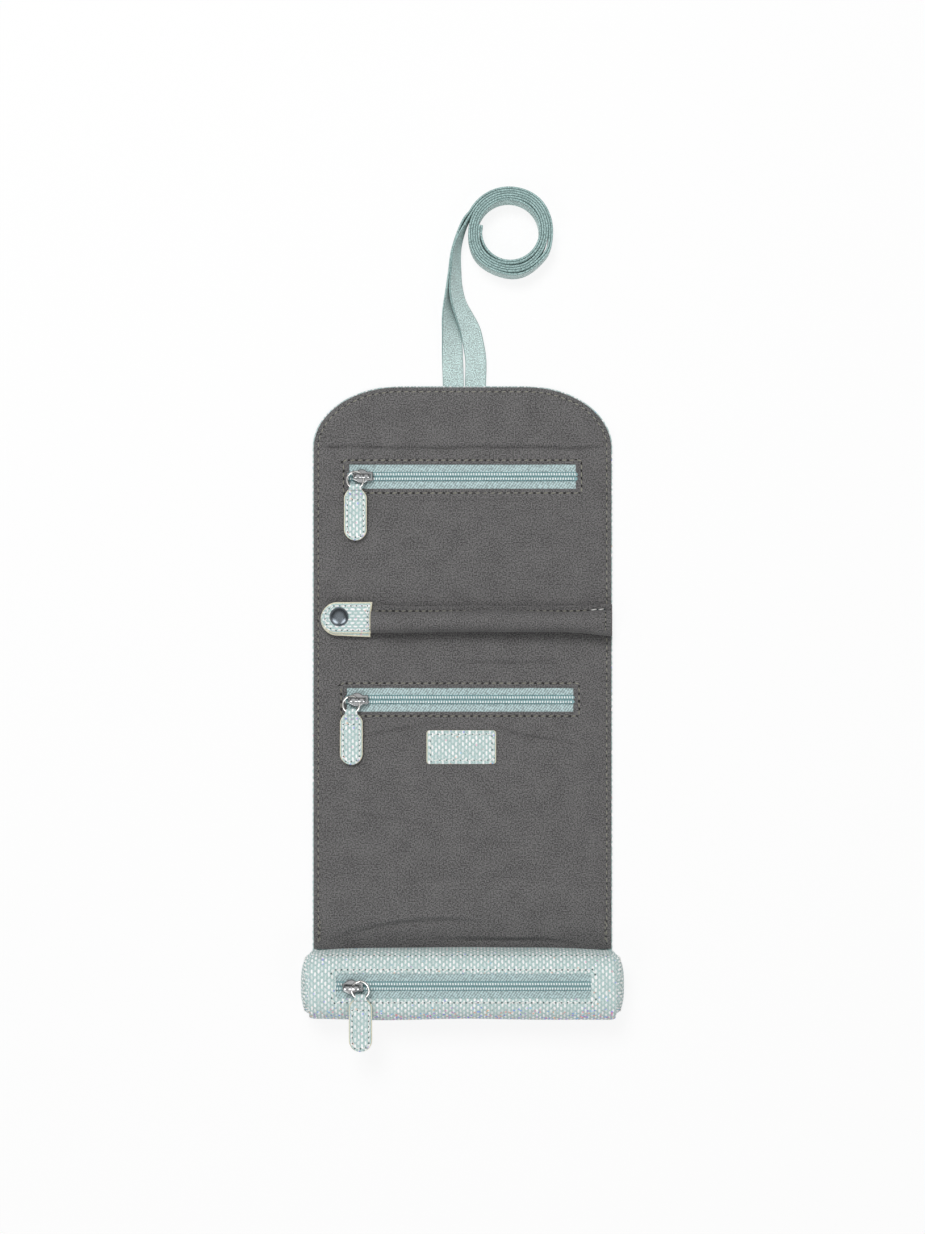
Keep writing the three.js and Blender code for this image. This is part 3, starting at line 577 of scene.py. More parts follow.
@dataclass
class Draft:
    """A mesh in the making, in millimetres, with flat coordinates and a finish on each face."""

    points: list[Point] = field(default_factory=list)
    faces: list[tuple[int, ...]] = field(default_factory=list)
    flats: list[list[Flat]] = field(default_factory=list)
    skins: list[Skin] = field(default_factory=list)

    def face(self, corners: list[int], flat: list[Flat], skin: Skin) -> None:
        """Adds one face.

        Args:
            corners: Numbers of its points.
            flat: Flat coordinates of each corner.
            skin: Its finish.
        """
        self.faces.append(tuple(corners))
        self.flats.append(flat)
        self.skins.append(skin)

    def surface(
        self,
        grid: np.ndarray,
        flat: np.ndarray,
        skin: Skin | Callable[[int, int], Skin],
        wrap: bool = False,
        flip: bool = False,
    ) -> int:
        """Adds a sheet of quads over a grid of points.

        Args:
            grid: Points, rows by columns by three.
            flat: Flat coordinates, with one more column than grid where it wraps.
            skin: The finish, or a function that gives it for a row and a column of faces.
            wrap: Whether the last column joins the first.
            flip: Whether the faces look the other way.

        Returns:
            The number of the grid's first point.
        """
        rows, columns = grid.shape[:2]
        start = len(self.points)
        self.points += [tuple(p) for p in grid.reshape(-1, 3)]
        for i in range(rows - 1):
            for j in range(columns if wrap else columns - 1):
                near, far = start + i * columns, start + (i + 1) * columns
                k = (j + 1) % columns
                corners = [near + j, near + k, far + k, far + j]
                uv = [flat[i, j], flat[i, j + 1], flat[i + 1, j + 1], flat[i + 1, j]]
                if flip:
                    corners.reverse()
                    uv.reverse()
                self.face(corners, uv, skin if isinstance(skin, Skin) else skin(i, j))
        return start

    def lid(self, corners: list[int], skin: Skin, flip: bool = False) -> None:
        """Closes a loop of points with one face, laid out as it is seen from above or the side.

        Args:
            corners: Numbers of the loop's points.
            skin: The face's finish.
            flip: Whether it looks the other way.
        """
        if flip:
            corners = corners[::-1]
        at = np.array([self.points[i] for i in corners])
        spans = np.ptp(at, axis=0)
        kept = sorted(range(3), key=lambda axis: -spans[axis])[:2]
        self.face(corners, [tuple(p) for p in at[:, sorted(kept)]], skin)

    def loft(
        self,
        rings: np.ndarray,
        flat: np.ndarray,
        skin: Skin | Callable[[int, int], Skin],
        ends: Skin | None = None,
    ) -> None:
        """Adds a skin through rings of points, closed at both ends.

        Args:
            rings: Points, rings by points by three.
            flat: Flat coordinates, with one more column than rings.
            skin: The finish, or a function that gives it for a row and a column of faces.
            ends: The finish of the two ends, the first face's if it isn't given.
        """
        start = self.surface(rings, flat, skin, wrap=True)
        count = rings.shape[1]
        last = start + (rings.shape[0] - 1) * count
        end_skin = ends or (skin if isinstance(skin, Skin) else skin(0, 0))
        self.lid(list(range(start, start + count)), end_skin, flip=True)
        self.lid(list(range(last, last + count)), end_skin)

    def hoop(self, rings: np.ndarray, flat: np.ndarray, skin: Skin, flip: bool = False) -> None:
        """Adds a skin through rings of points that goes round a hole, back to its first ring.

        Args:
            rings: Points, rings by points by three.
            flat: Flat coordinates, with one more ring and one more column than rings.
            skin: Its finish.
            flip: Whether the faces look the other way.
        """
        joined = np.concatenate([rings, rings[:1]])
        start = self.surface(joined, flat, skin, wrap=True, flip=flip)
        width = rings.shape[1]
        last = start + len(rings) * width
        del self.points[last:]
        back = {last + k: start + k for k in range(width)}
        self.faces = [tuple(back.get(i, i) for i in face) for face in self.faces]

    def slab(self, outline: np.ndarray, low: float, high: float, edge: float, skin: Skin) -> None:
        """Adds a flat body with rounded edges.

        Args:
            outline: Its outline, counter-clockwise.
            low: Its underside.
            high: Its top.
            edge: The radius of its edges.
            skin: Its finish.
        """
        turns = [math.radians(turn) for turn in (90, 60, 30, 0)]
        levels = [(edge * (1 - math.cos(a)), low + edge * (1 - math.sin(a))) for a in turns]
        levels += [(inset, high + low - z) for inset, z in levels[::-1]]
        length = travel(np.vstack([outline, outline[:1]]))
        rings = [
            np.column_stack([drawn_in(outline, inset), np.full(len(outline), z)])
            for inset, z in levels
        ]
        flat = [np.column_stack([length, np.full(len(length), z - inset)]) for inset, z in levels]
        self.loft(np.array(rings), np.array(flat), skin)

    def turned(self, x: float, y: float, profile: list[Flat], skin: Skin, sides: int) -> None:
        """Adds a round body about an upright axis.

        Args:
            x: The axis.
            y: The axis.
            profile: Radius and height from the bottom to the top; a radius of zero isn't used.
            skin: Its finish.
            sides: How many sides it has.
        """
        angle = circle(sides)
        rings = [
            np.column_stack([x + r * np.cos(angle), y + r * np.sin(angle), np.full(sides, z)])
            for r, z in profile
        ]
        around = np.arange(sides + 1) / sides * TURN * 4
        flat = pairs(travel(np.array(profile)), around)[..., ::-1]
        self.loft(np.array(rings), flat, skin)

    def rod(
        self,
        line: np.ndarray,
        radius: float | np.ndarray,
        skin: Skin | Callable[[int, int], Skin],
        sides: int = 8,
        flatten: float = 1.0,
    ) -> None:
        """Adds a round or flattened rod along a line.

        Args:
            line: The points of its middle.
            radius: Its radius, or one at each point.
            skin: Its finish, or a function that gives it for each face.
            sides: How many sides it has.
            flatten: Its height as a share of its width.
        """
        way = np.gradient(line, axis=0)
        way /= np.linalg.norm(way, axis=1)[:, None]
        up = np.tile([0.0, 0.0, 1.0], (len(line), 1))
        up[np.abs(way[:, 2]) > 0.9] = [0.0, 1.0, 0.0]
        side = np.cross(up, way)
        side /= np.linalg.norm(side, axis=1)[:, None]
        up = np.cross(way, side)
        size = np.broadcast_to(radius, len(line))[:, None]
        rings = [
            line + side * size * math.cos(turn) + up * size * flatten * math.sin(turn)
            for turn in circle(sides)
        ]
        flat = pairs(travel(line), np.arange(sides + 1) / sides * TURN)
        flat[..., 1] *= size
        self.loft(np.stack(rings, axis=1), flat, skin)

    def thicken(
        self,
        top: np.ndarray,
        bottom: np.ndarray,
        cells: list[tuple[int, ...]],
        flat: np.ndarray,
        skin: Skin,
    ) -> None:
        """Adds a closed sheet between two sets of points that share their faces.

        Args:
            top: The upper points.
            bottom: The lower points, one under each upper one.
            cells: Faces of the upper side, as point numbers, counter-clockwise from above.
            flat: Flat coordinates of each point.
            skin: Its finish.
        """
        used = sorted({i for cell in cells for i in cell})
        number = {old: new for new, old in enumerate(used)}
        cells = [tuple(number[i] for i in cell) for cell in cells]
        top, bottom, flat = top[used], bottom[used], flat[used]
        start, count = len(self.points), len(top)
        self.points += [tuple(p) for p in top] + [tuple(p) for p in bottom]
        loose: dict[tuple[int, int], bool] = {}
        for cell in cells:
            uv = [tuple(flat[i]) for i in cell]
            self.face([start + i for i in cell], uv, skin)
            self.face([start + count + i for i in reversed(cell)], uv[::-1], skin)
            for a, b in zip(cell, cell[1:] + cell[:1]):
                if not loose.pop((b, a), False):
                    loose[(a, b)] = True
        for a, b in loose:
            drop = float(np.linalg.norm(top[a] - bottom[a]))
            uv = [tuple(flat[b]), tuple(flat[a]), tuple(flat[a] + drop), tuple(flat[b] + drop)]
            self.face([start + b, start + a, start + count + a, start + count + b], uv, skin)

    def cloth(
        self, top: np.ndarray, thickness: float, skin: Skin, kept: np.ndarray | None = None
    ) -> None:
        """Adds a closed sheet under a grid of points.

        Args:
            top: The sheet's upper side, rows by columns by three.
            thickness: How thick it is.
            skin: Its finish.
            kept: Which faces of the grid it has, all of them if this isn't given.
        """
        rows, columns = top.shape[:2]
        if kept is None:
            kept = np.ones((rows - 1, columns - 1), bool)
        corners = [int(i * columns + j) for i, j in np.argwhere(kept)]
        cells = [(k, k + columns, k + columns + 1, k + 1) for k in corners]
        upper = top.reshape(-1, 3)
        self.thicken(upper, upper - [0, 0, thickness], cells, upper[:, :2], skin)

    def build(self, name: str, sharp: float = 50.0) -> bpy.types.Object:
        """Makes the object, in metres, with smooth shading between edges that are sharp.

        Args:
            name: The piece's name.
            sharp: The least angle of an edge that stays sharp, in degrees.

        Returns:
            The object, linked to the scene.
        """
        mesh = bpy.data.meshes.new(name)
        points = [tuple(float(c) * MM for c in p) for p in self.points]
        mesh.from_pydata(points, [], self.faces)
        used = list(dict.fromkeys(self.skins))
        for skin in used:
            mesh.materials.append(skin.finish.material())
        mesh.polygons.foreach_set("material_index", [used.index(s) for s in self.skins])
        mesh.polygons.foreach_set("use_smooth", [True] * len(self.faces))
        layer = mesh.uv_layers.new(name="flat")
        spread = np.array([c for uv in self.flats for c in uv], np.float32) * MM
        layer.data.foreach_set("uv", spread.ravel())
        mesh.validate()
        mesh.set_sharp_from_angle(angle=math.radians(sharp))
        made = bpy.data.objects.new(name, mesh)
        bpy.context.scene.collection.objects.link(made)
        log.info("%s: %d faces", name, len(self.faces))
        return made

    def fit(self, name: str, body: str, *nodes: str, sharp: float = 50.0) -> bpy.types.Object:
        """Makes the object, rides it on its body and lets it stand for its CAD nodes.

        Args:
            name: The piece's name.
            body: The CAD body that it moves with.
            *nodes: The CAD nodes that it replaces.
            sharp: The least angle of an edge that stays sharp, in degrees.

        Returns:
            The object.
        """
        made = self.build(name, sharp)
        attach(made, body)
        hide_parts(*nodes)
        return made


@dataclass
class Studio:
    """The white floor, the soft lamps and the camera, which looks straight down as the photo does.

    The highest lamp shines from past the flap, so that the wrinkles across the lining show. It
    isn't mirrored in the metal: what the metal shows is the room and the two lower boxes.
    """

    eye: Point = (0.0, 50.95, 905.0)
    lens: float = 49.3
    sensor: float = 36.0
    floor_half: float = 3000.0
    floor_drop: float = 0.05
    paper: str = "#F4F4F4"
    paper_glow: float = 0.86
    lamps: tuple[tuple[Point, float, bool], ...] = (
        ((-800.0, -750.0, 1250.0), 3.2, True),
        ((800.0, -750.0, 1250.0), 3.2, True),
        ((-300.0, 900.0, 1500.0), 18.4, False),
    )
    lamp_size: float = 700.0
    sky: float = 0.34
    sky_stops: tuple[Flat, ...] = ((0.0, 0.55), (0.35, 1.0), (0.8, 1.25), (0.93, 0.9), (1.0, 0.3))
    room_stops: tuple[Flat, ...] = (
        (0.0, 0.62), (0.2, 0.5), (0.34, 0.18), (0.86, 0.25), (0.94, 0.9), (1.0, 1.1),
    )
    box_ways: tuple[Point, ...] = ((-0.49, -0.59, 0.643), (0.49, -0.59, 0.643))
    box_edge: Flat = (0.915, 0.96)
    box_level: float = 13.0

    @staticmethod
    def stand(name: str, data: bpy.types.ID, place: Point = (0, 0, 0)) -> bpy.types.Object:
        """Puts an object into the scene at a place in millimetres.

        Args:
            name: The object's name.
            data: Its mesh, lamp or camera.
            place: Where it stands.

        Returns:
            The object.
        """
        made = bpy.data.objects.new(name, data)
        made.location = [c * MM for c in place]
        bpy.context.scene.collection.objects.link(made)
        return made

    def camera(self) -> None:
        """Makes the camera and makes it the scene's own."""
        data = bpy.data.cameras.new("photo_camera")
        data.lens = self.lens
        data.sensor_width = self.sensor
        data.clip_end = 20.0
        bpy.context.scene.camera = self.stand("photo_camera", data, self.eye)

    @staticmethod
    def rays(tree: Tree, *kinds: str) -> bpy.types.NodeSocket | Node:
        """One where a ray is of any of some kinds, such as Camera or Glossy.

        Args:
            tree: The nodes of a material or a world.
            *kinds: The kinds.

        Returns:
            A node or socket with that value.
        """
        path = add_node(tree, "LightPath")
        found = path.outputs[f"Is {kinds[0]} Ray"]
        for kind in kinds[1:]:
            other = path.outputs[f"Is {kind} Ray"]
            found = add_node(tree, "Math", (found, other), operation="MAXIMUM")
        return found

    def floor(self) -> None:
        """Makes the floor: white to the camera, and it keeps the roll's soft shadow."""
        h, z = self.floor_half * MM, -self.floor_drop * MM
        mesh = bpy.data.meshes.new("studio_floor")
        mesh.from_pydata([(-h, -h, z), (h, -h, z), (h, h, z), (-h, h, z)], [], [(0, 1, 2, 3)])
        self.stand("studio_floor", mesh)
        paper = bpy.data.materials.new("white_studio_paper")
        paper.use_nodes = True
        tree = paper.node_tree
        tree.nodes.clear()
        matt = add_node(tree, "BsdfDiffuse", {"Color": (*linear(self.paper), 1.0)})
        glow = add_node(tree, "Emission")
        seen = self.rays(tree, "Camera", "Transmission", "Glossy")
        share = add_node(tree, "Math", (seen, self.paper_glow), operation="MULTIPLY")
        mixed = add_node(tree, "MixShader", (share, matt, glow))
        add_node(tree, "OutputMaterial", {"Surface": mixed})
        mesh.materials.append(paper)

    def lights(self) -> None:
        """Makes three large soft lamps, a pale sky, and the room that shines back from metal."""
        for i, (place, watts, mirrored) in enumerate(self.lamps):
            data = bpy.data.lights.new(f"softbox_{i}", "AREA")
            data.energy = watts
            data.size = self.lamp_size * MM
            made = self.stand(f"softbox_{i}", data, place)
            made.visible_glossy = mirrored
            made.rotation_euler = (-Vector(made.location)).to_track_quat("-Z", "Y").to_euler()
        world = bpy.data.worlds.new("pale_sky")
        bpy.context.scene.world = world
        world.use_nodes = True
        tree = world.node_tree
        tree.nodes.clear()
        way = add_node(tree, "TexCoord").outputs["Generated"]
        height = add_node(tree, "SeparateXYZ", (way,)).outputs["Z"]
        layers = []
        for stops, strength in (
            (self.sky_stops, self.sky),
            (self.room_stops, self.reflected_boxes(tree, way)),
        ):
            grey = [(position, (level, level, level)) for position, level in stops]
            ramp = add_node(tree, "ValToRGB", (height,), grey)
            layers.append(add_node(tree, "Background", {"Color": ramp, "Strength": strength}))
        lit = add_node(tree, "MixShader", (self.rays(tree, "Glossy"), *layers))
        white = add_node(tree, "Background", ((1.0, 1.0, 1.0, 1.0),))
        seen = self.rays(tree, "Camera", "Transmission")
        mixed = add_node(tree, "MixShader", (seen, lit, white))
        add_node(tree, "OutputWorld", {"Surface": mixed})

    def reflected_boxes(self, tree: Tree, way: bpy.types.NodeSocket) -> Node:
        """How much brighter the room is where the metal mirrors a light box.

        Args:
            tree: The world's nodes.
            way: The direction that a ray goes in.

        Returns:
            One, and more inside the round patch of each box.
        """
        boxes: Node | float = 1.0
        for box in self.box_ways:
            near = add_node(tree, "VectorMath", (way, box), operation="DOT_PRODUCT")
            patch = {"Value": near.outputs["Value"], "To Max": self.box_level}
            patch["From Min"], patch["From Max"] = self.box_edge
            shine = add_node(tree, "MapRange", patch)
            boxes = add_node(tree, "Math", (shine, boxes), operation="ADD")
        return boxes


def spline(points: np.ndarray, count: int) -> np.ndarray:
    """Points along a centripetal Catmull-Rom curve, as the part's source draws it.

    Args:
        points: The points that the curve goes through.
        count: How many steps the curve is cut into.

    Returns:
        One more point than count.
    """
    padded = np.vstack([2 * points[0] - points[1], points, 2 * points[-1] - points[-2]])
    out = []
    for i in range(count + 1):
        place = i / count * (len(points) - 1)
        k = min(int(place), len(points) - 2)
        t = place - k
        p0, p1, p2, p3 = padded[k : k + 4]
        d0, d1, d2 = (
            max(1e-4, float(np.sum((b - a) ** 2)) ** 0.25)
            for a, b in ((p0, p1), (p1, p2), (p2, p3))
        )
        t1 = ((p1 - p0) / d0 - (p2 - p0) / (d0 + d1) + (p2 - p1) / d1) * d1
        t2 = ((p2 - p1) / d1 - (p3 - p1) / (d1 + d2) + (p3 - p2) / d2) * d1
        square = -3 * p1 + 3 * p2 - 2 * t1 - t2
        cube = 2 * p1 - 2 * p2 + t1 + t2
        out.append(p1 + t1 * t + square * t * t + cube * t**3)
    return np.array(out)


@dataclass
class Ties:
    """The two flat straps: from under the flap's edge they turn on edge into one coil.

    Attributes:
        routes: Places of each strap's middle between the flap and the coil: x, how far past the
            flap's edge, and the lean in quarter turns. They are those of part.mjs.
        loose_turns: Where the coil gapes: the angle, the gap's spread, the first turn that
            stands off, and by how much.
    """

    body: str = "flap"
    flap_edge: float = 174.15
    width: float = 11.2
    thickness: float = 1.0
    wound_thickness: float = 1.18
    bevel: float = 0.26
    solid_thickness: float = 0.8
    leather: float = 1.1
    ply_gap: float = 0.1
    lift: float = 0.1
    pitch: float = 1.23
    coil_x: float = 24.9
    coil_rise: float = 81.0
    inner_radius: float = 15.0
    start_turn: float = 168 / 360
    coil_steps: int = 142
    steps_per_turn: int = 48
    lead_steps: int = 120
    loose_turns: tuple[tuple[float, float, int, float], ...] = (
        (218.0, 26.0, 1, 0.75), (290.0, 34.0, 2, 0.7), (334.0, 14.0, 4, 0.8),
        (48.0, 22.0, 3, 0.4), (282.0, 22.0, 5, 0.6),
    )
    routes: tuple[tuple[str, tuple[Point, ...]], ...] = (
        ("right", (
            (6.9, -11, 0), (6.9, 0, 0), (7.1, 14, 0.03), (5.9, 22, 0.06), (4.2, 29.4, 0.14),
            (1.1, 36.8, 0.36), (-2.0, 44.2, 0.5), (-3.5, 52, 0.58), (-3.6, 60, 0.67),
            (-2.6, 73.9, 0.8), (1.8, 85.5, 0.97),
        )),
        ("left", (
            (-4.9, -11, 0), (-4.9, 0, 0), (-5.3, 14, 0.05), (-5.8, 26, 0.3), (-7.4, 38, 0.62),
            (-7.8, 50, 0.9), (-7.15, 60, 1), (-5.35, 72, 1), (0.4, 87.2, 1),
        )),
    )

    def coil_line(self, lane: int) -> np.ndarray:
        """The middle of a strap in the coil, from its outer end inwards.

        Args:
            lane: 0 for the strap on the inside, 1 for the other.

        Returns:
            Rows of x, y, and the lean in quarter turns.
        """
        turns = self.start_turn + np.arange(self.coil_steps, -1, -1) / self.steps_per_turn
        angle = turns * TURN
        radius = self.inner_radius + self.pitch * (lane + 2 * (turns - self.start_turn))
        for middle, spread, layer, gap in self.loose_turns:
            past = (angle - math.radians(middle)) / TURN
            whole = np.round(past)
            radius += gap * hump((past - whole) * 360, 0, spread) * (2 * whole + lane >= layer)
        x = self.coil_x + radius * np.cos(angle)
        y = self.flap_edge + self.coil_rise + radius * np.sin(angle)
        return np.column_stack([x, y, np.ones_like(x)])

    def line(self, route: tuple[Point, ...], lane: int) -> np.ndarray:
        """The strap's middle, from its root to its tip: rows of x, y, z and lean in radians.

        Args:
            route: The strap's way to the coil.
            lane: Its place in the coil.

        Returns:
            The rows.
        """
        coil = self.coil_line(lane)
        ends = np.vstack([np.array(route) + [0, self.flap_edge, 0], coil[:1]])
        lead = spline(ends, self.lead_steps)[:-1]
        flat = np.vstack([lead, coil])
        lean = np.clip(flat[:, 2], 0, 1) * math.pi / 2
        low = self.leather + self.ply_gap + self.solid_thickness / 2
        high = self.width / 2 + self.lift
        return np.column_stack([flat[:, :2], high * np.sin(lean) + low * np.cos(lean), lean])

    def strap(self, side: str, route: tuple[Point, ...], lane: int) -> None:
        """Args:
            side: Left or right, for its root at the flap.
            route: Its way to the coil.
            lane: Its place in the coil.
        """
        line = self.line(route, lane)
        centre, lean = line[:, :3], line[:, 3]
        way = np.gradient(line[:, :2], axis=0)
        way /= np.linalg.norm(way, axis=1)[:, None]
        across = np.column_stack([-way[:, 1], way[:, 0]])
        wide = np.column_stack([across * np.cos(lean)[:, None], np.sin(lean)])
        thin = np.cross(wide, np.column_stack([-way, np.zeros(len(way))]))
        thin /= np.linalg.norm(thin, axis=1)[:, None]
        half, slim = self.width / 2, self.thickness / 2
        steps = np.array([-1, -0.94, -0.5, 0, 0.5, 0.94, 1])
        section = [(half * s, slim * (1 - self.bevel * s**24)) for s in steps]
        section += [(half * s, -slim * (1 - self.bevel * s**24)) for s in steps[::-1]]
        into = np.arange(len(centre)) - (len(centre) - self.coil_steps - 1)
        swell = 1 + (self.wound_thickness / self.thickness - 1) * ease(into, -4, 10)
        rings = [centre + wide * a + thin * (b * swell[:, None]) for a, b in section]
        length = travel(centre)
        round_way = travel(np.array(section + section[:1]))
        # The arris carries the painted shade of the dark line between two turns.
        skins = ([Skin.STRAP_ARRIS_SHADE] + [Skin.STRAP] * 4 + [Skin.STRAP_ARRIS_SHADE, Skin.STRAP_EDGE]) * 2
        draft = Draft()
        draft.loft(
            np.stack(rings, axis=1),
            pairs(length, round_way)[..., ::-1],
            lambda _, j: skins[j],
            ends=Skin.STRAP_EDGE,
        )
        nodes = (f"tie_{side}_lead", f"tie_{side}_coil")
        made = draft.fit(f"{side}_tie_strap", self.body, *nodes)
        log.info("%s: %.0f mm long", made.name, length[-1])

    def build(self) -> None:
        """Builds both straps."""
        for lane, (side, route) in enumerate(self.routes):
            self.strap(side, route, lane)


def walk(path: np.ndarray, pitch: float, closed: bool = False) -> tuple[np.ndarray, np.ndarray]:
    """Places spread evenly along a path, with the way that it goes there.

    Args:
        path: The path's points.
        pitch: About how far apart the places are.
        closed: Whether the path's end joins its start.

    Returns:
        The places, and a unit vector along the path at each.
    """
    if closed:
        path = np.vstack([path, path[:1]])
    length = travel(path)
    count = max(1, round(length[-1] / pitch))
    at = (np.arange(count) + 0.5) * length[-1] / count
    places, ahead, behind = (
        np.column_stack([np.interp(at + nudge, length, column) for column in path.T])
        for nudge in (0, pitch * 0.2, -pitch * 0.2)
    )
    way = ahead - behind
    return places, way / np.maximum(1e-9, np.linalg.norm(way, axis=1))[:, None]


@dataclass(frozen=True)
class Seam:
    """One kind of sewn line: its thread, and its stitches with a needle hole between each two."""

    thread: Skin
    pitch: float = 4.0
    length: float = 2.5
    radius: float = 0.3
    hole_length: float = 1.6
    hole_width: float = 0.9
    hole_height: float = 0.22
    slant: float = 0.12

    @property
    def shade(self) -> Skin:
        """The finish of the painted shade in the needle holes: paler in leather than in the dark
        lining.
        """
        white = self.thread is Skin.WHITE_THREAD
        return Skin.LEATHER_HOLE if white else Skin.NEEDLE_HOLE

    def sew(
        self,
        draft: Draft,
        path: np.ndarray,
        up: np.ndarray | tuple = (0.0, 0.0, 1.0),
        closed: bool = False,
        between: Flat = (-math.inf, math.inf),
        holes: bool = True,
    ) -> None:
        """Lays stitches along a path.

        Args:
            draft: The mesh that gets them.
            path: Points of the seam, on the surface that it is sewn into.
            up: The surface's outward direction, at each point or all along.
            closed: Whether the seam is a loop.
            between: The least and the greatest y of the stitches that are kept.
            holes: Whether the painted shade of the needle holes shows.
        """
        places, _ = walk(np.hstack([path, np.broadcast_to(up, path.shape)]), self.pitch, closed)
        _, ways = walk(path, self.pitch, closed)
        for place, way in zip(places, ways):
            if not between[0] < place[1] <= between[1]:
                continue
            out = place[3:] / np.linalg.norm(place[3:])
            side = np.cross(out, way)
            turned = way * math.cos(self.slant) + side * math.sin(self.slant)
            self.stitch(draft, place[:3], turned, np.cross(out, turned), out)
            if holes:
                self.hole(draft, place[:3] + way * self.pitch / 2, way, side, out)

    def stitch(
        self, draft: Draft, at: np.ndarray, way: np.ndarray, side: np.ndarray, out: np.ndarray
    ) -> None:
        """Adds one stitch: a short bead of thread that dips at both ends.

        Args:
            draft: The mesh that gets it.
            at: The stitch's middle.
            way: The direction that it lies in.
            side: The direction across it.
            out: The surface's outward direction.
        """
        half, around = self.length / 2, circle(6)
        rings, flat = [], []
        for t in (-1.0, -0.72, 0.0, 0.72, 1.0):
            thick = self.radius * math.sqrt(1 - 0.93 * t * t)
            middle = at + way * t * half + out * (0.12 - 0.34 * t * t) * self.radius * 2
            rim = np.outer(np.cos(around), side) + np.outer(np.sin(around), out)
            rings.append(middle + thick * rim)
            flat.append([(t * half, k / 6 * TURN * self.radius) for k in range(7)])
        draft.loft(np.array(rings)[::-1], np.array(flat)[::-1], self.thread)

    def hole(
        self, draft: Draft, at: np.ndarray, way: np.ndarray, side: np.ndarray, out: np.ndarray
    ) -> None:
        """Adds the painted shade where the thread goes down, as a thin dark lens.

        Args:
            draft: The mesh that gets it.
            at: The dip's middle.
            way: The seam's direction.
            side: The direction across it.
            out: The surface's outward direction.
        """
        start = len(draft.points)
        long, wide = way * self.hole_length / 2, side * self.hole_width / 2
        for turn in circle(8):
            rim = at + long * math.cos(turn) + wide * math.sin(turn)
            draft.points.append(tuple(rim + out * self.hole_height * 0.6))
        draft.points += [tuple(at + out * self.hole_height), tuple(at - out * 0.1)]
        for k in range(8):
            a, b = start + k, start + (k + 1) % 8
            for corners in ([a, b, start + 8], [b, a, start + 9]):
                draft.face(corners, [(0, 0), (0.3, 0), (0, 0.3)], self.shade)


@dataclass(frozen=True)
class Window:
    """A zip's opening in the lining: its middle, its length and its height."""

    x: float
    y: float
    length: float
    height: float = 12.9

    def loop(self, grow: float, radius: float, sideways: float = 0.0) -> np.ndarray:
        """A rounded rectangle round the window, counter-clockwise.

        Args:
            grow: How far outside the window it runs.
            radius: The radius of its corners.
            sideways: How much further out it runs at the window's two ends.

        Returns:
            Its points, x and y.
        """
        a, b = self.length / 2 + grow + sideways - radius, self.height / 2 + grow - radius
        out = []
        for sx, sy, quarter in ((1, 1, 0), (-1, 1, 1), (-1, -1, 2), (1, -1, 3)):
            angle = (quarter + np.arange(7) / 6) * math.pi / 2
            x, y = sx * a + radius * np.cos(angle), sy * b + radius * np.sin(angle)
            out.append(np.column_stack([self.x + x, self.y + y]))
        return np.vstack(out)

    def rounded_corners(
        self, x: np.ndarray, y: np.ndarray, radius: float
    ) -> tuple[np.ndarray, np.ndarray]:
        """Moves points near the window's corners so that a square corner becomes round.

        Args:
            x: Places along the window.
            y: Places across it.
            radius: The corner's radius.

        Returns:
            The moved places.
        """
        u = (np.abs(x - self.x) - self.length / 2 + radius) / radius
        v = (np.abs(y - self.y) - self.height / 2 + radius) / radius
        reach = np.maximum(np.maximum(u, v), 1)
        a, b = np.clip(u / reach, 0, 1), np.clip(v / reach, 0, 1)
        near = (u > 0) & (v > 0) & (reach < 2)
        fade = np.where(near, 2 - reach, 0) * radius
        across = fade * a * (np.sqrt(1 - b * b / 2) - 1)
        upward = fade * b * (np.sqrt(1 - a * a / 2) - 1)
        return x + across * np.sign(x - self.x), y + upward * np.sign(y - self.y)

    def gap(self, x: np.ndarray, y: np.ndarray) -> np.ndarray:
        """How far a point is outside the window; negative inside it.

        Args:
            x: Places along the window.
            y: Places across it.

        Returns:
            The distances.
        """
        dx = np.abs(x - self.x) - self.length / 2
        dy = np.abs(y - self.y) - self.height / 2
        outside = np.hypot(np.maximum(dx, 0), np.maximum(dy, 0))
        return outside + np.minimum(np.maximum(dx, dy), 0)


@dataclass(frozen=True)
class Wrinkle:
    """A soft crease in the lining, along a line."""

    line: tuple[Flat, ...]
    depth: float
    width: float
    ridge: float = 0.6

    def drop(self, x: np.ndarray, y: np.ndarray) -> np.ndarray:
        """How far the lining sinks at each point: a valley with a low ridge above it.

        Args:
            x: Places across the panel.
            y: Places along it.

        Returns:
            The drop at each.
        """
        ends = np.array(self.line)
        best = np.full(np.shape(x), 1e9)
        side, fade = np.zeros(np.shape(x)), np.zeros(np.shape(x))
        done = travel(ends)
        for a, b, start in zip(ends[:-1], ends[1:], done):
            way = b - a
            span = float(np.linalg.norm(way))
            t = np.clip(((x - a[0]) * way[0] + (y - a[1]) * way[1]) / span**2, 0, 1)
            dx, dy = x - a[0] - t * way[0], y - a[1] - t * way[1]
            gap = np.hypot(dx, dy)
            nearer = gap < best
            best = np.where(nearer, gap, best)
            side = np.where(nearer, np.sign(way[0] * dy - way[1] * dx) * gap, side)
            share = np.clip((start + t * span) / done[-1], 0.04, 0.96)
            fade = np.where(nearer, np.sin(np.pi * share) ** 0.6, fade)
        ridge = self.ridge * hump(side, 2.1 * self.width, 1.3 * self.width)
        section = hump(side, 0, self.width) - ridge
        return self.depth * fade * hump(best, 0, 4 * self.width) * section


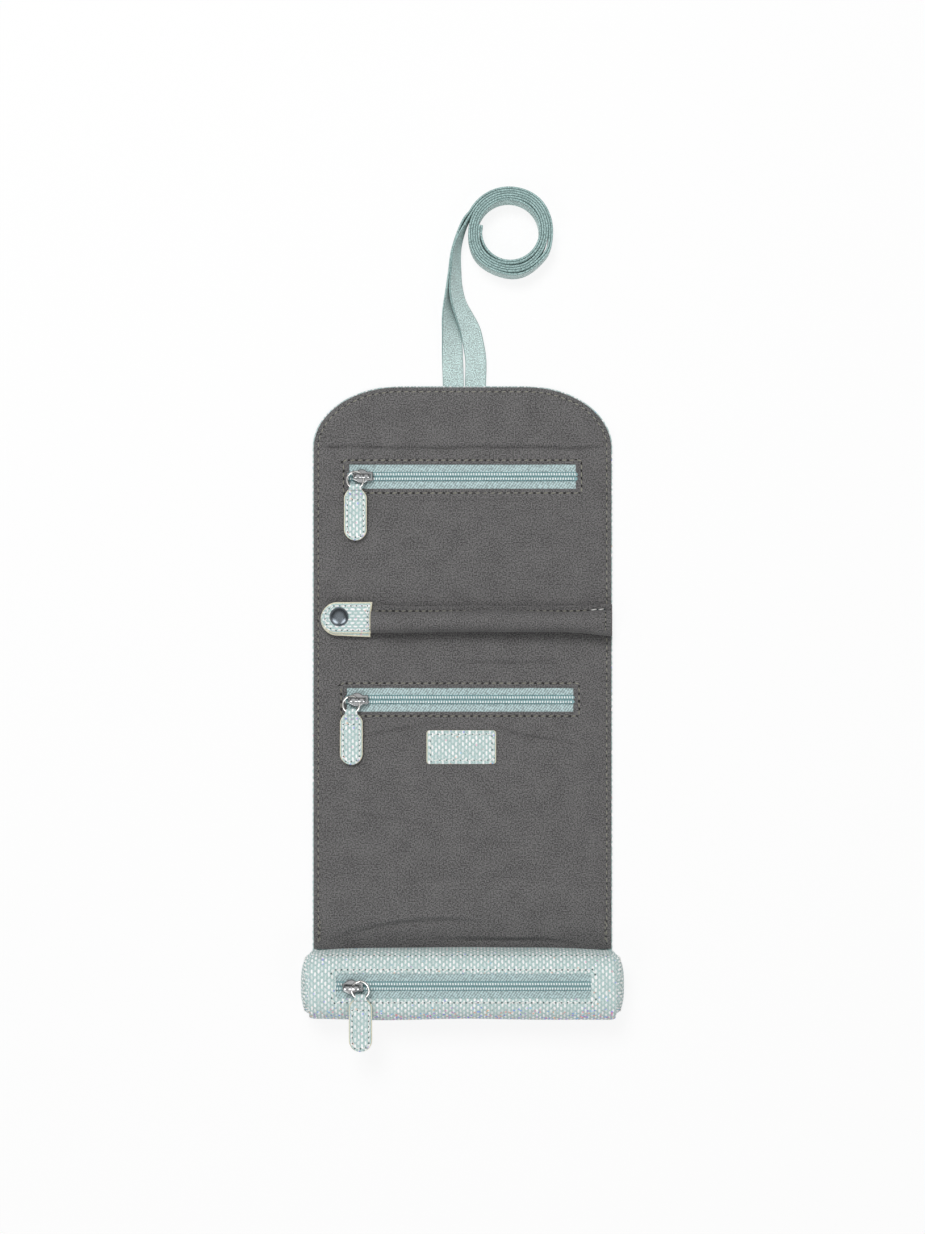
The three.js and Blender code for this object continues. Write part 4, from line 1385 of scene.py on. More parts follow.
@dataclass
class Panel:
    """The folding panel: grey lining over padding over leather, sewn together round its edge.

    It is cut into spans, each over one fold, with the cuts in the flat cloth between two folds.

    Attributes:
        folds: Each fold's height, the bodies above and below it, and its section's name.
        bends: How far on each side of a fold the cloth bends; not used.
        cuts: Where one span ends and the next begins.
        tucks: How far the lining and the leather reach in under the pouch.
        groove: The depth and the width of the dip along the edge seam.
        fold_groove: The same along a fold.
        thinning: Drops of the lining's edge, each with the distances from the edge that it ends
            and starts at: the padding gives out, and then the lining turns down.
        hem: How far the lining turns down at a window, and how far from it that starts.
        window_groove: The depth and the width of the dip along a window's seam.
        swell: How far the padding rises and sinks in slow waves.
        sag: How far the last section lies lower in its middle, next to the pouch.
        edge_lift: How far the leather is drawn up off the table at the edge seam.
        backtack: Where the second row of stitches starts and stops in a lower corner.
    """

    half: float = 80.0
    top_edge: float = 174.15
    end: float = -123.35
    corner_width: float = 46.0
    thickness: float = 5.0
    lining: float = 0.6
    leather: float = 1.1
    lining_inset: float = 0.7
    seam_inset: float = 3.1
    groove: Flat = (0.3, 0.8)
    thinning: tuple[Point, ...] = ((0.9, 2.4, 8.5), (0.35, 0.4, 1.6))
    hem: Flat = (0.3, 0.9)
    window_groove: Flat = (0.22, 0.7)
    swell: float = 0.09
    sag: float = 0.35
    edge_lift: float = 1.75
    folds: tuple[tuple[float, str, str, str], ...] = (
        (141.15, "flap", "upper_panel", "flap"),
        (88.65, "upper_panel", "ring_panel", "upper"),
        (16.65, "ring_panel", "middle_panel", "ring"),
        (-32.85, "middle_panel", "lower_panel", "middle"),
        (-87.85, "lower_panel", "last_panel", "lower"),
        (-123.35, "last_panel", "pouch", "last"),
    )
    bends: tuple[float, ...] = (6.5, 6.5, 3.6, 4.2, 6.5, 3.6)
    cuts: tuple[float, ...] = (104.15, 69.15, -5.85, -60.35, -105.6)
    tucks: Flat = (2.6, 7.5)
    crease_depth: float = 1.35
    fold_groove: Flat = (0.1, 2.2)
    windows: tuple[Window, ...] = (Window(0.0, 125.75, 120.7), Window(-1.3, 6.95, 120.7))
    window_seam: float = 2.3
    window_seam_side: float = 0.7
    window_seam_corner: float = 1.6
    window_steps: tuple[float, ...] = (0.35, 0.9, 1.6, 2.3, 3.0)
    edge_steps: tuple[float, ...] = (1.1, 1.7, 2.3, 2.8, 3.1, 3.5, 4.1, 5.0, 6.2, 7.5, 9.0)
    row_gap: float = 1.7
    least_row_gap: float = 0.3
    column_gap: float = 2.2
    wrinkles: tuple[Wrinkle, ...] = (
        Wrinkle(
            ((-64, -119.5), (-48, -115.2), (-30, -112.4), (-10, -111), (12, -112.6)), 1.57, 1.5
        ),
        Wrinkle(((-12, -121), (20, -121.6), (44.5, -121.4), (60, -124)), 0.88, 1.2),
        Wrinkle(((-64, -53.8), (-36, -57.6), (-8, -63)), 0.88, 1.4),
        Wrinkle(((-10, -66.3), (21, -70.8), (42, -72)), 0.79, 1.4),
        Wrinkle(
            ((-12, -5.2), (-18.9, -6.3), (-34.6, -9.4), (-50.3, -12.6), (-58, -13.6)), 1.4, 0.9
        ),
        Wrinkle(((8, -5), (17, -7.6), (32.8, -12.6), (50.7, -15.3), (62, -17.8)), 1.31, 0.9),
        Wrinkle(((-70, 27.5), (-63.8, 30.3), (-50.4, 35), (-28, 38.6)), 0.88, 1.3),
        Wrinkle(((-16.6, 28), (5.8, 26.4), (32.8, 26), (59.7, 27.3)), 1.05, 1.1),
        Wrinkle(((-56, 112.6), (-10, 112), (62, 112.6)), 0.53, 1.2),
        Wrinkle(((26, -38), (48, -41), (66, -47)), 0.53, 1.8),
        Wrinkle(((-70, -88), (-30, -91), (20, -89), (60, -93)), 0.61, 2.2),
    )
    window_stitches: Seam = Seam(Skin.GREY_THREAD)
    back_stitches: Seam = Seam(Skin.WHITE_THREAD)
    edge_stitches: Seam = Seam(Skin.GREY_THREAD, 4.0, 2.6, 0.27, 1.2, 0.5)
    backtack: Flat = (1.5, 13.0)

    @property
    def flap_fold(self) -> float:
        """The height of the flap's fold, where the round corners start."""
        return self.folds[0][0]

    @property
    def flap_length(self) -> float:
        """How far the flap reaches past its fold."""
        return self.top_edge - self.flap_fold

    def half_width(self, y: np.ndarray, inset: float) -> np.ndarray:
        """Half the panel's width at some heights, drawn in from its edge.

        Args:
            y: The heights.
            inset: How far inside the edge.

        Returns:
            Half the width at each.
        """
        rise = np.clip((y - self.flap_fold) / (self.flap_length - inset), 0, 1)
        straight = self.half - self.corner_width
        return straight + (self.corner_width - inset) * np.sqrt(1 - rise**2)

    def edge(self, inset: float) -> np.ndarray:
        """The panel's outline, inset, from the lower left corner up and round to the right one.

        Args:
            inset: How far inside the edge it runs.

        Returns:
            Its points, x and y.
        """
        straight = self.half - self.corner_width
        side = np.arange(self.end, self.flap_fold, 1.0)
        left = np.column_stack([np.full(len(side), inset - self.half), side])
        turn = np.linspace(0, math.pi / 2, 50)
        x = straight + (self.corner_width - inset) * np.cos(turn)
        arc = np.column_stack([x, self.flap_fold + (self.flap_length - inset) * np.sin(turn)])
        xs = np.arange(-straight, straight, 1.0)
        top = np.column_stack([xs, np.full(len(xs), self.top_edge - inset)])
        return np.vstack([left, arc * [-1, 1], top[1:], arc[::-1], left[::-1] * [-1, 1]])

    def from_edge(self, x: np.ndarray, y: np.ndarray) -> np.ndarray:
        """About how far a point is inside the panel's side or round edge.

        Args:
            x: Places across the panel.
            y: Places along it.

        Returns:
            The distance at each.
        """
        sides = self.half - np.abs(x)
        u = np.maximum(0, np.abs(x) - self.half + self.corner_width) / self.corner_width
        v = np.maximum(0, y - self.flap_fold) / self.flap_length
        level = np.hypot(u, v)
        slope = np.hypot(u / self.corner_width, v / self.flap_length) / np.maximum(level, 1e-6)
        round_gap = (1 - level) / np.maximum(slope, 1e-6)
        return np.where(y > self.flap_fold, np.minimum(round_gap, sides + 60 * (u == 0)), sides)

    def top(self, x: np.ndarray, y: np.ndarray) -> np.ndarray:
        """The height of the lining's upper side, with its grooves, crease and wrinkles.

        Args:
            x: Places across the panel.
            y: Places along it.

        Returns:
            The height at each.
        """
        d = self.from_edge(x, y)
        z = self.thickness - self.groove[0] * hump(d, self.seam_inset, self.groove[1])
        for drop, out, inside in self.thinning:
            z -= drop * (1 - ease(d, out, inside))
        for window in self.windows:
            gap = window.gap(x, y)
            z -= self.hem[0] * (1 - ease(gap, 0, self.hem[1])) * (gap > -1)
            z -= self.window_groove[0] * hump(gap, self.window_seam, self.window_groove[1])
        line = self.flap_fold - 0.15 + 0.35 * np.sin(x / 13) + 0.2 * np.sin(x / 5.1)
        crease = hump(y, line, 0.8) - 0.25 * hump(y, line + 2, 1.8)
        z -= self.crease_depth * crease * ease(d, 2.5, 9)
        depth, width = self.fold_groove
        for fold, *_ in self.folds[1:5]:
            z -= depth * hump(y, fold, width) * ease(d, 3, 12)
        for wrinkle in self.wrinkles:
            z -= wrinkle.drop(x, y) * ease(d, 1, 8)
        swell = np.sin(x / 17 + y / 41 + 1) * np.sin(y / 23 - x / 61)
        swell += 0.35 * np.sin(x / 9.5 - y / 14 + 2)
        z += self.swell * swell * ease(d, 4, 14) - 0.07
        return z - self.sag * ease(y, -100, -123) * ease(d, 4, 30)

    def underside(self, x: np.ndarray, y: np.ndarray) -> np.ndarray:
        """The height of the leather's lower side: flat on the table, and drawn up at the seam.

        Args:
            x: Places across the panel.
            y: Places along it.

        Returns:
            The height at each.
        """
        d = self.from_edge(x, y)
        lift = self.edge_lift * (1 - ease(d, 1.5, 7.5))
        return lift - 0.12 * hump(d, self.seam_inset, self.groove[1]) * (lift > 0.3)

    def rows(self, high: float, low: float) -> np.ndarray:
        """The heights of a span's rows of points, closer together where the cloth bends.

        Args:
            high: The span's upper end.
            low: Its lower end.

        Returns:
            Heights, from high to low.
        """
        fixed = [high, low]
        for window in self.windows:
            for side in (1, -1):
                for step in (0, *self.window_steps):
                    fixed.append(window.y + side * (window.height / 2 + step))
        for fold, *_ in self.folds:
            fixed += list(fold + np.arange(-7, 7.1, 0.7))
        for wrinkle in self.wrinkles:
            heights = [y for _, y in wrinkle.line]
            fixed += list(np.arange(min(heights) - 3, max(heights) + 3, 0.8))
        if high > self.flap_fold:
            turn = np.radians(np.concatenate([np.linspace(0, 80, 28)[:-1], np.linspace(80, 90, 9)]))
            rise = self.flap_length - self.lining_inset
            fixed += list(self.flap_fold + rise * np.sin(turn))
        kept = sorted({round(float(v), 3) for v in fixed if low - 1e-6 <= v <= high + 1e-6})
        close = filled(kept, self.row_gap)
        out = [close[0]]
        for value in close[1:]:
            if value - out[-1] > self.least_row_gap or value == close[-1]:
                out.append(value)
        return np.array(out[::-1])

    def columns(self, inset: float, fine: bool) -> np.ndarray:
        """Places across the panel, as x where it is widest.

        Args:
            inset: How far inside the edge the first one is.
            fine: Whether the windows' edges get columns of their own.

        Returns:
            Places from left to right.
        """
        fixed = [s * (self.half - d) for d in (inset, *self.edge_steps) for s in (1, -1)]
        if fine:
            for window in self.windows:
                for side in (1, -1):
                    for step in (-0.01, *self.window_steps):
                        fixed.append(window.x + side * (window.length / 2 + step))
        return filled(sorted(fixed), self.column_gap)

    def grid(self, high: float, low: float, inset: float, fine: bool) -> Flat:
        """The grid of one span of cloth.

        Args:
            high: The span's upper end.
            low: Its lower end.
            inset: How far inside the panel's edge the cloth ends.
            fine: Whether it has the windows' edges.

        Returns:
            Its x and y, each rows by columns.
        """
        heights = self.rows(min(high, self.top_edge - inset), low)
        across = self.columns(inset, fine) / (self.half - inset)
        x = self.half_width(heights, inset)[:, None] * across[None, :]
        return x, np.broadcast_to(heights[:, None], x.shape)

    def uncut(self, x: np.ndarray, y: np.ndarray) -> np.ndarray:
        """Which faces of a grid lie outside the zips' windows.

        Args:
            x: The grid's x.
            y: The grid's y.

        Returns:
            True for each face that stays.
        """
        middle_x, middle_y = ((c[:-1, :-1] + c[1:, 1:]) / 2 for c in (x, y))
        gaps = [window.gap(middle_x, middle_y) for window in self.windows]
        return np.min(gaps, axis=0) >= 0

    def sew(self, draft: Draft, low: float, high: float) -> None:
        """Sews the seams that lie between two heights.

        Args:
            draft: The mesh that gets them.
            low: The lower height.
            high: The upper height.
        """

        def laid(path: np.ndarray, height: Callable) -> np.ndarray:
            """A flat path, laid on the lining or under the leather."""
            return np.column_stack([path, height(path[:, 0], path[:, 1])])

        edge = self.edge(self.seam_inset)
        self.edge_stitches.sew(draft, laid(edge, self.top), between=(low, high))
        under = laid(edge, self.underside)
        self.back_stitches.sew(draft, under, (0.0, 0.0, -1.0), between=(low, high), holes=False)
        if low == self.end:
            start, stop = self.backtack
            side = np.linspace(self.end + start, self.end + stop, 24)
            for x in (self.seam_inset + 0.9 - self.half, self.half - self.seam_inset - 0.9):
                path = np.column_stack([np.full(24, x), side])
                tack = replace(self.edge_stitches, pitch=2.6, length=1.7)
                tack.sew(draft, laid(path, self.top))
        for window in self.windows:
            if low < window.y < high:
                offsets = (self.window_seam, self.window_seam_corner, self.window_seam_side)
                path = laid(window.loop(*offsets), self.top)
                self.window_stitches.sew(draft, path, closed=True)

    def span(self, index: int) -> None:
        """Builds the lining, the leather and the seams of the span over one fold.

        Args:
            index: The fold's number, counted from the flap.
        """
        fold, upper, lower, section = self.folds[index]
        high = self.top_edge if index == 0 else self.cuts[index - 1]
        last = index == len(self.folds) - 1
        low = self.end if last else self.cuts[index]
        lining_end, leather_end = (low - (tuck if last else 0) for tuck in self.tucks)
        lining, back, seams = Draft(), Draft(), Draft()
        x, y = self.grid(high, lining_end, self.lining_inset, True)
        lining.cloth(np.dstack([x, y, self.top(x, y)]), self.lining, Skin.SUEDE, self.uncut(x, y))
        x, y = self.grid(high, leather_end, 0.0, False)
        outside = np.dstack([x, y, self.underside(x, y) + self.leather])
        back.cloth(outside, self.leather, Skin.LEATHER)
        self.sew(seams, low, high)
        padded = lining.build(f"{section}_suede_lining")
        leather = back.build(f"{section}_leather_back")
        for piece in (padded, leather, seams.build(f"{section}_panel_stitches")):
            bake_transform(piece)
        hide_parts(f"{section}_lining", f"{section}_padding")
        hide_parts(f"{section}_outer")
        if section in ("upper", "middle"):
            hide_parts(f"{section}_pocket_bag")

    def build(self) -> None:
        """Builds every span."""
        for index in range(len(self.folds)):
            self.span(index)


def rounded(corners: np.ndarray | tuple, radius: float) -> np.ndarray:
    """Rounds the corners of a closed outline.

    Args:
        corners: The outline's corners.
        radius: How far from a corner the rounding starts.

    Returns:
        The rounded outline.
    """
    corners = np.array(corners)
    out = []
    for corner, last, following in zip(corners, np.roll(corners, 1, 0), np.roll(corners, -1, 0)):
        before, after = last - corner, following - corner
        a = corner + before * min(0.5, radius / np.linalg.norm(before))
        b = corner + after * min(0.5, radius / np.linalg.norm(after))
        for t in np.arange(5) / 4:
            out.append((1 - t) ** 2 * a + 2 * t * (1 - t) * corner + t * t * b)
    return np.array(out)


def drawn_in(outline: np.ndarray, inset: float) -> np.ndarray:
    """A counter-clockwise outline, moved inwards all round.

    Args:
        outline: Its points, x and y.
        inset: How far they move.

    Returns:
        The moved points.
    """
    ahead = np.roll(outline, -1, axis=0) - outline
    ahead /= np.maximum(np.linalg.norm(ahead, axis=1), 1e-9)[:, None]
    way = ahead + np.roll(ahead, 1, axis=0)
    way /= np.maximum(np.linalg.norm(way, axis=1), 1e-9)[:, None]
    return outline + np.column_stack([-way[:, 1], way[:, 0]]) * inset


@dataclass
class LeatherTag:
    """A tag cut from the printed leather, with a pale raw edge all round.

    It is drawn along a line: at each place along it the tag has a half width and a height.
    """

    along: np.ndarray
    half: np.ndarray
    underside: np.ndarray
    thickness: float
    place: Callable[[float, float], Flat]
    edge: float = 0.5
    bevel: float = 0.32

    def section(self, along: float, half: float, underside: float) -> list[Flat]:
        """The tag's section at one place.

        Args:
            along: The place along it.
            half: Its half width there.
            underside: The height of its underside there.

        Returns:
            Places across it with their heights, over the top and back underneath.
        """
        flat = (half - min(self.edge, 0.45 * half)) * np.linspace(-1, 1, 9)
        tip = min(abs(along - self.along[0]), abs(along - self.along[-1]))
        blunt = self.bevel * (1 - min(1.0, tip / self.edge))
        high, low = underside + self.thickness - blunt, underside + blunt * 0.6
        out = [(-half, high - self.bevel), *((u, high) for u in flat), (half, high - self.bevel)]
        out += [(half, low + self.bevel), *((u, low) for u in flat[::-1])]
        return out + [(-half, low + self.bevel)]

    def add(self, draft: Draft) -> None:
        """Adds the tag to a mesh.

        Args:
            draft: The mesh that gets it.
        """
        rings, flats = [], []
        for along, half, underside in zip(self.along, self.half, self.underside):
            section = self.section(along, half, underside)
            rings.append([(*self.place(along, across), height) for across, height in section])
            flats.append([(across, along) for across, _ in section + section[:1]])

        def skin(i: int, j: int) -> Skin:
            """Raw edge at the sides and the ends, print between them."""
            raw = i in (0, len(self.along) - 2) or j % 11 in (0, 9, 10)
            return Skin.RAW_EDGE if raw else Skin.LEATHER

        grid, flat = np.array(rings), np.array(flats)
        first = np.array(self.place(0, 0))
        ahead, across = np.array(self.place(1, 0)) - first, np.array(self.place(0, 1)) - first
        rising = self.along[-1] > self.along[0]
        if (ahead[0] * across[1] - ahead[1] * across[0] > 0) == rising:
            grid, flat = grid[::-1], flat[::-1]
        draft.loft(grid, flat, skin, ends=Skin.RAW_EDGE)


@dataclass
class Zip:
    """A number 3 coil zip: two woven tapes, two rows of teeth, a slider, a split ring and a tab.

    Attributes:
        cords: Threads along a tape: how far from its inner edge, their radius and finish.
        tooth: One loop's section: distance from the chain's middle, height, and its size there.
        bridge: The slider's bridge, as shares of its half length and of its rise.
    """

    name: str
    body: str
    window: Window
    slider_x: float
    ring: Flat
    tab_low: float
    tape_top: float = 4.3
    tape_thickness: float = 0.4
    tape_overlap: float = 3.5
    tape_steps: tuple[float, ...] = (0.0, 0.25, 0.7, 1.9, 2.2, 2.6, 3.4, 4.6, 5.6, 6.3, 6.8)
    cords: tuple[tuple[float, float, Skin], ...] = (
        (1.78, 0.22, Skin.TAPE_THREAD),
        # A cord near the chain's middle, in the nylon's painted shade.
        (0.12, 0.2, Skin.TEETH_SHADE),
    )
    chain_gap: float = 0.9
    tooth_pitch: float = 1.38
    tooth_radius: float = 0.36
    tooth: tuple[Point, ...] = (
        (2.1, 0.2, 0.8), (1.98, 0.5, 0.9), (1.7, 0.78, 1.0), (1.2, 0.92, 1.05),
        (0.72, 0.8, 1.0), (0.2, 0.42, 0.9), (-0.15, 0.22, 0.8),
    )
    slider_length: float = 10.9
    slider_mouth: float = 7.7
    slider_tail: float = 4.8
    slider_post: float = 2.6
    plate: float = 1.3
    bridge: tuple[Flat, ...] = (
        (-1.0, -0.35), (-1.0, 0.25), (-0.98, 0.6), (-0.9, 0.85), (-0.72, 0.99), (-0.35, 1.0),
        (0.02, 0.86), (0.35, 1.0), (0.72, 0.99), (0.9, 0.85), (0.98, 0.6), (1.0, 0.25),
        (1.0, -0.35),
    )
    bridge_width: float = 2.6
    bridge_tunnel: float = 2.0
    bridge_wall: float = 1.0
    ring_radius: float = 4.4
    tab_length: float = 27.8
    tab_half: float = 6.0
    tab_neck: float = 2.5
    tab_waist: float = 3.7
    tab_shoulder: float = 4.9
    tab_start: float = 0.9
    tab_thickness: float = 1.6
    tab_seam_inset: float = 1.75
    tab_stitches: Seam = Seam(Skin.WHITE_THREAD, 2.9, 2.0, 0.3, 0.8, 0.65, slant=0.25)
    sleeve_radius: float = 2.0
    sleeve_bore: float = 1.3

    @property
    def plate_bottom(self) -> float:
        """The height of the underside of the slider's upper plate."""
        return self.tape_top + 1.5

    @property
    def ring_height(self) -> float:
        """The height of the ring's middle."""
        return self.plate_bottom + self.plate + self.bridge_tunnel / 2

    def tape(self, side: int, word: str) -> None:
        """Builds one tape: a thin woven strip with a doubled edge at the teeth.

        Args:
            side: 1 for the upper one, -1 for the lower one.
            word: Which of the two it is.
        """
        reach = self.window.length / 2 + self.tape_overlap
        xs = self.window.x + np.linspace(-reach, reach, 90)
        across = np.array(self.tape_steps)
        x, y = np.meshgrid(
            xs, self.window.y + side * (self.chain_gap / 2 + across), indexing="ij"
        )
        wave = 0.06 * np.sin(x / 6.3 + side) + 0.05 * np.sin(x / 2.9 + 2 * side)
        z = self.tape_top + wave * ease(across, 1.9, 2.6) - 0.12 * hump(across, 2.4, 0.3)
        top = np.dstack([x, y, z])
        draft = Draft()
        draft.cloth(top[::-1] if side > 0 else top, self.tape_thickness, Skin.TAPE)
        line = np.linspace(xs[0] + 0.3, xs[-1] - 0.3, 200)
        wave = 0.05 * np.sin(line * TURN / self.tooth_pitch)
        for gap, radius, skin in self.cords:
            y = self.window.y + side * (self.chain_gap / 2 + gap) + wave
            path = np.column_stack([line, y, np.full(200, self.tape_top + 0.12)])
            draft.rod(path, radius, skin, sides=6)
        draft.fit(f"{self.name}_{word}_zip_tape", self.body, f"{self.name}_zip_tape_{word}")

    def teeth(self, side: int, word: str) -> None:
        """Builds one row of teeth: loops of nylon monofilament, humped over their cord.

        Args:
            side: 1 for the upper one, -1 for the lower one.
            word: Which of the two it is.
        """
        draft = Draft()
        reach = self.window.length / 2 + 0.9
        across, high, size = np.array(self.tooth).T

        def skin(i: int, _: int) -> Skin:
            """Painted highlight on the hump, and painted shade where the tape shades the loop."""
            return Skin.TEETH if 2 <= i <= 3 else Skin.TEETH_SHADE

        for k in range(int(2 * reach / self.tooth_pitch)):
            x = self.window.x - reach + (k + (0.75 if side > 0 else 0.25)) * self.tooth_pitch
            lean = x + np.linspace(-0.12, 0.12, len(across))
            line = np.column_stack([lean, self.window.y + side * across, self.tape_top + high])
            draft.rod(line, self.tooth_radius * size, skin, sides=7, flatten=0.85)
        # The filler cord under the loops, in the nylon's painted shade, darker between the teeth.
        xs = np.linspace(self.window.x - reach, self.window.x + reach, 120)
        level = np.broadcast_to([self.window.y + side * 1.15, self.tape_top + 0.34], (120, 2))
        draft.rod(np.column_stack([xs, level]), 0.85, Skin.TEETH_SHADE, flatten=0.35)
        nodes = f"{self.name}_zip_teeth_{word}"
        draft.fit(f"{self.name}_{word}_zip_teeth", self.body, nodes, sharp=80)

    def slider(self) -> None:
        """Builds the slider: two plates round the teeth, a shouldered top and its bridge."""
        x, y = self.slider_x, self.window.y
        left, right = x - self.slider_length / 2, x + self.slider_length / 2
        mouth, tail = self.slider_mouth / 2, self.slider_tail / 2
        low = self.plate_bottom
        top = low + self.plate
        under = self.tape_top - self.tape_thickness - 0.1
        draft = Draft()

        def block(
            corners: list[Flat], radius: float, low: float, high: float, edge: float
        ) -> None:
            """Adds a flat block, with its corners' y counted from the zip's middle."""
            outline = rounded(np.array(corners) + [0, y], radius)
            draft.slab(outline, low, high, edge, Skin.ZINC)

        def box(x0: float, x1: float, y0: float, y1: float) -> list[Flat]:
            """A rectangle's corners."""
            return [(x0, y0), (x1, y0), (x1, y1), (x0, y1)]

        half_plate = [
            (left, 1.5),
            (left + 1.3, 2.35),
            (x - 1.7, mouth - 0.25),
            (x - 0.1, mouth),
            (x + 1.0, mouth - 0.35),
            (x + 2.3, tail + 0.1),
            (right - 0.25, tail),
            (right, tail - 0.3),
        ]
        block([(px, -py) for px, py in half_plate] + half_plate[::-1], 0.55, low, top, 0.42)
        for edge in (mouth - 0.75, 0.75 - mouth):
            wall = box(x - self.slider_post, x, edge - 0.45, edge + 0.45)
            block(wall, 0.3, self.tape_top + 0.2, low + 0.4, 0.12)
        block(box(x - 2.6, x + 2.6, -2.4, 2.4), 0.6, under - 0.6, under, 0.2)
        block(box(x - 2.2, x + 2.2, -0.25, 0.25), 0.1, under - 0.2, low + 0.2, 0.04)
        start, end = left + 0.25, right - 1.0
        half, middle = (end - start - self.bridge_wall) / 2, (start + end) / 2
        rise = self.bridge_tunnel + self.bridge_wall / 2
        line = [(middle + a * half, y, top + b * rise) for a, b in self.bridge]
        self.strip(draft, spline(np.array(line), 48))
        node = f"{self.name}_slider"
        draft.fit(f"{self.name}_zip_slider", node, node, sharp=40)

    def strip(self, draft: Draft, line: np.ndarray) -> None:
        """Adds the bridge: a flat strip with rounded edges, in an upright plane along X.

        Args:
            draft: The mesh that gets it.
            line: The points of the strip's middle.
        """
        way = np.gradient(line, axis=0)
        way /= np.linalg.norm(way, axis=1)[:, None]
        side = np.tile([0.0, 1.0, 0.0], (len(line), 1))
        up = np.cross(way, side)
        rings = []
        for turn in circle(16):
            a, b = (math.copysign(abs(c) ** 0.8, c) / 2 for c in (math.cos(turn), math.sin(turn)))
            rings.append(line + side * a * self.bridge_width + up * b * self.bridge_wall)
        around = np.linspace(0, 2 * (self.bridge_width + self.bridge_wall), 17)
        draft.loft(np.stack(rings, axis=1), pairs(travel(line), around), Skin.ZINC)

    def split_ring(self) -> None:
        """Builds the split ring: flattened wire that goes round almost twice."""
        turns = np.linspace(0, 1.88, 110)
        angle = turns * TURN + 2.2
        x = self.ring[0] + self.ring_radius * np.cos(angle)
        y = self.ring[1] + self.ring_radius * np.sin(angle)
        z = self.ring_height + 0.3 * (2 * ease(turns, 0.9, 1.0) - 1)
        draft = Draft()
        draft.rod(np.column_stack([x, y, z]), 0.5, Skin.NICKEL, sides=12, flatten=0.58)
        node = f"{self.name}_ring"
        draft.fit(f"{self.name}_split_ring", node, node)

    def tab_profile(self) -> tuple[np.ndarray, np.ndarray, np.ndarray]:
        """The tab from its tip to its neck: distance below the ring, half width, underside.

        Returns:
            The three, at each place along the tab.
        """
        tip = self.tab_half * (1 - np.cos(np.radians(np.linspace(6, 90, 14))))
        half = self.tab_half * np.sin(np.arccos(np.clip(1 - tip / self.tab_half, 0, 1)))
        straight = np.linspace(self.tab_length - tip[-1], self.tab_shoulder, 14)[1:]
        neck = np.linspace(self.tab_shoulder, self.tab_start, 9)[1:]
        share = (self.tab_shoulder - neck) / (self.tab_shoulder - self.tab_start)
        narrow = self.tab_half - (self.tab_half - self.tab_waist) * share**1.6
        below = np.concatenate([self.tab_length - tip, straight, neck])
        width = np.concatenate([half, np.full(len(straight), self.tab_half), narrow])
        raised = self.ring_height - self.tab_thickness / 2
        z = self.tab_low + (raised - self.tab_low) * ease(-below, -5.2, -1.4)
        return below, width, z

    def tab(self) -> None:
        """Builds the leather tab: a folded tag, its sleeve round the ring, and its stitches."""
        x = self.ring[0]
        pivot = self.ring[1] - self.ring_radius
        below, width, z = self.tab_profile()
        draft = Draft()
        LeatherTag(
            below, width, z, self.tab_thickness, lambda a, across: (x + across, pivot - a)
        ).add(draft)
        self.sleeve(draft, x, pivot)
        inset = self.tab_seam_inset
        keep = (below < self.tab_length - inset) & (below > self.tab_shoulder + 0.5)
        top = z + self.tab_thickness
        side = np.column_stack([width - inset, pivot - below, top])[keep]
        side = side[side[:, 0] > 0]
        left = side[::-1] * [-1, 1, 1]
        tip = (0.0, pivot - self.tab_length + inset, top[0])
        self.tab_stitches.sew(draft, np.vstack([left, tip, side, left[:1]]) + [x, 0, 0])
        node = f"{self.name}_pull_tab"
        draft.fit(f"{self.name}_leather_pull_tab", node, node)

    def sleeve(self, draft: Draft, x: float, pivot: float) -> None:
        """Adds the tab's sleeve round the ring.

        Args:
            draft: The mesh that gets it.
            x: The tab's middle.
            pivot: The height on the panel where the ring's wire passes.
        """
        angle = np.arange(21) / 20 * TURN
        reach = self.tab_neck + (self.tab_waist - self.tab_neck) * (0.5 - 0.5 * np.cos(angle))
        outer = ((-1, 0.8), (-0.88, 1.0), (-0.3, 1.0), (0.3, 1.0), (0.88, 1.0), (1, 0.8))
        rings, flats = [], []
        for across, share in (*outer, (0.96, 0), (0.3, 0), (-0.3, 0), (-0.96, 0), outer[0]):
            radius = self.sleeve_bore + (self.sleeve_radius - self.sleeve_bore) * share
            y = pivot + radius * np.cos(angle) + 0.25
            height = self.ring_height + radius * np.sin(angle)
            rings.append(np.column_stack([x + across * reach, y, height])[:-1])
            flats.append(np.column_stack([across * reach, radius * angle]))
        draft.hoop(np.array(rings[:-1]), np.array(flats), Skin.LEATHER, flip=True)

    def build(self) -> None:
        """Builds the whole zip."""
        for side, word in ((1, "upper"), (-1, "lower")):
            self.tape(side, word)
            self.teeth(side, word)
        self.slider()
        self.split_ring()
        self.tab()


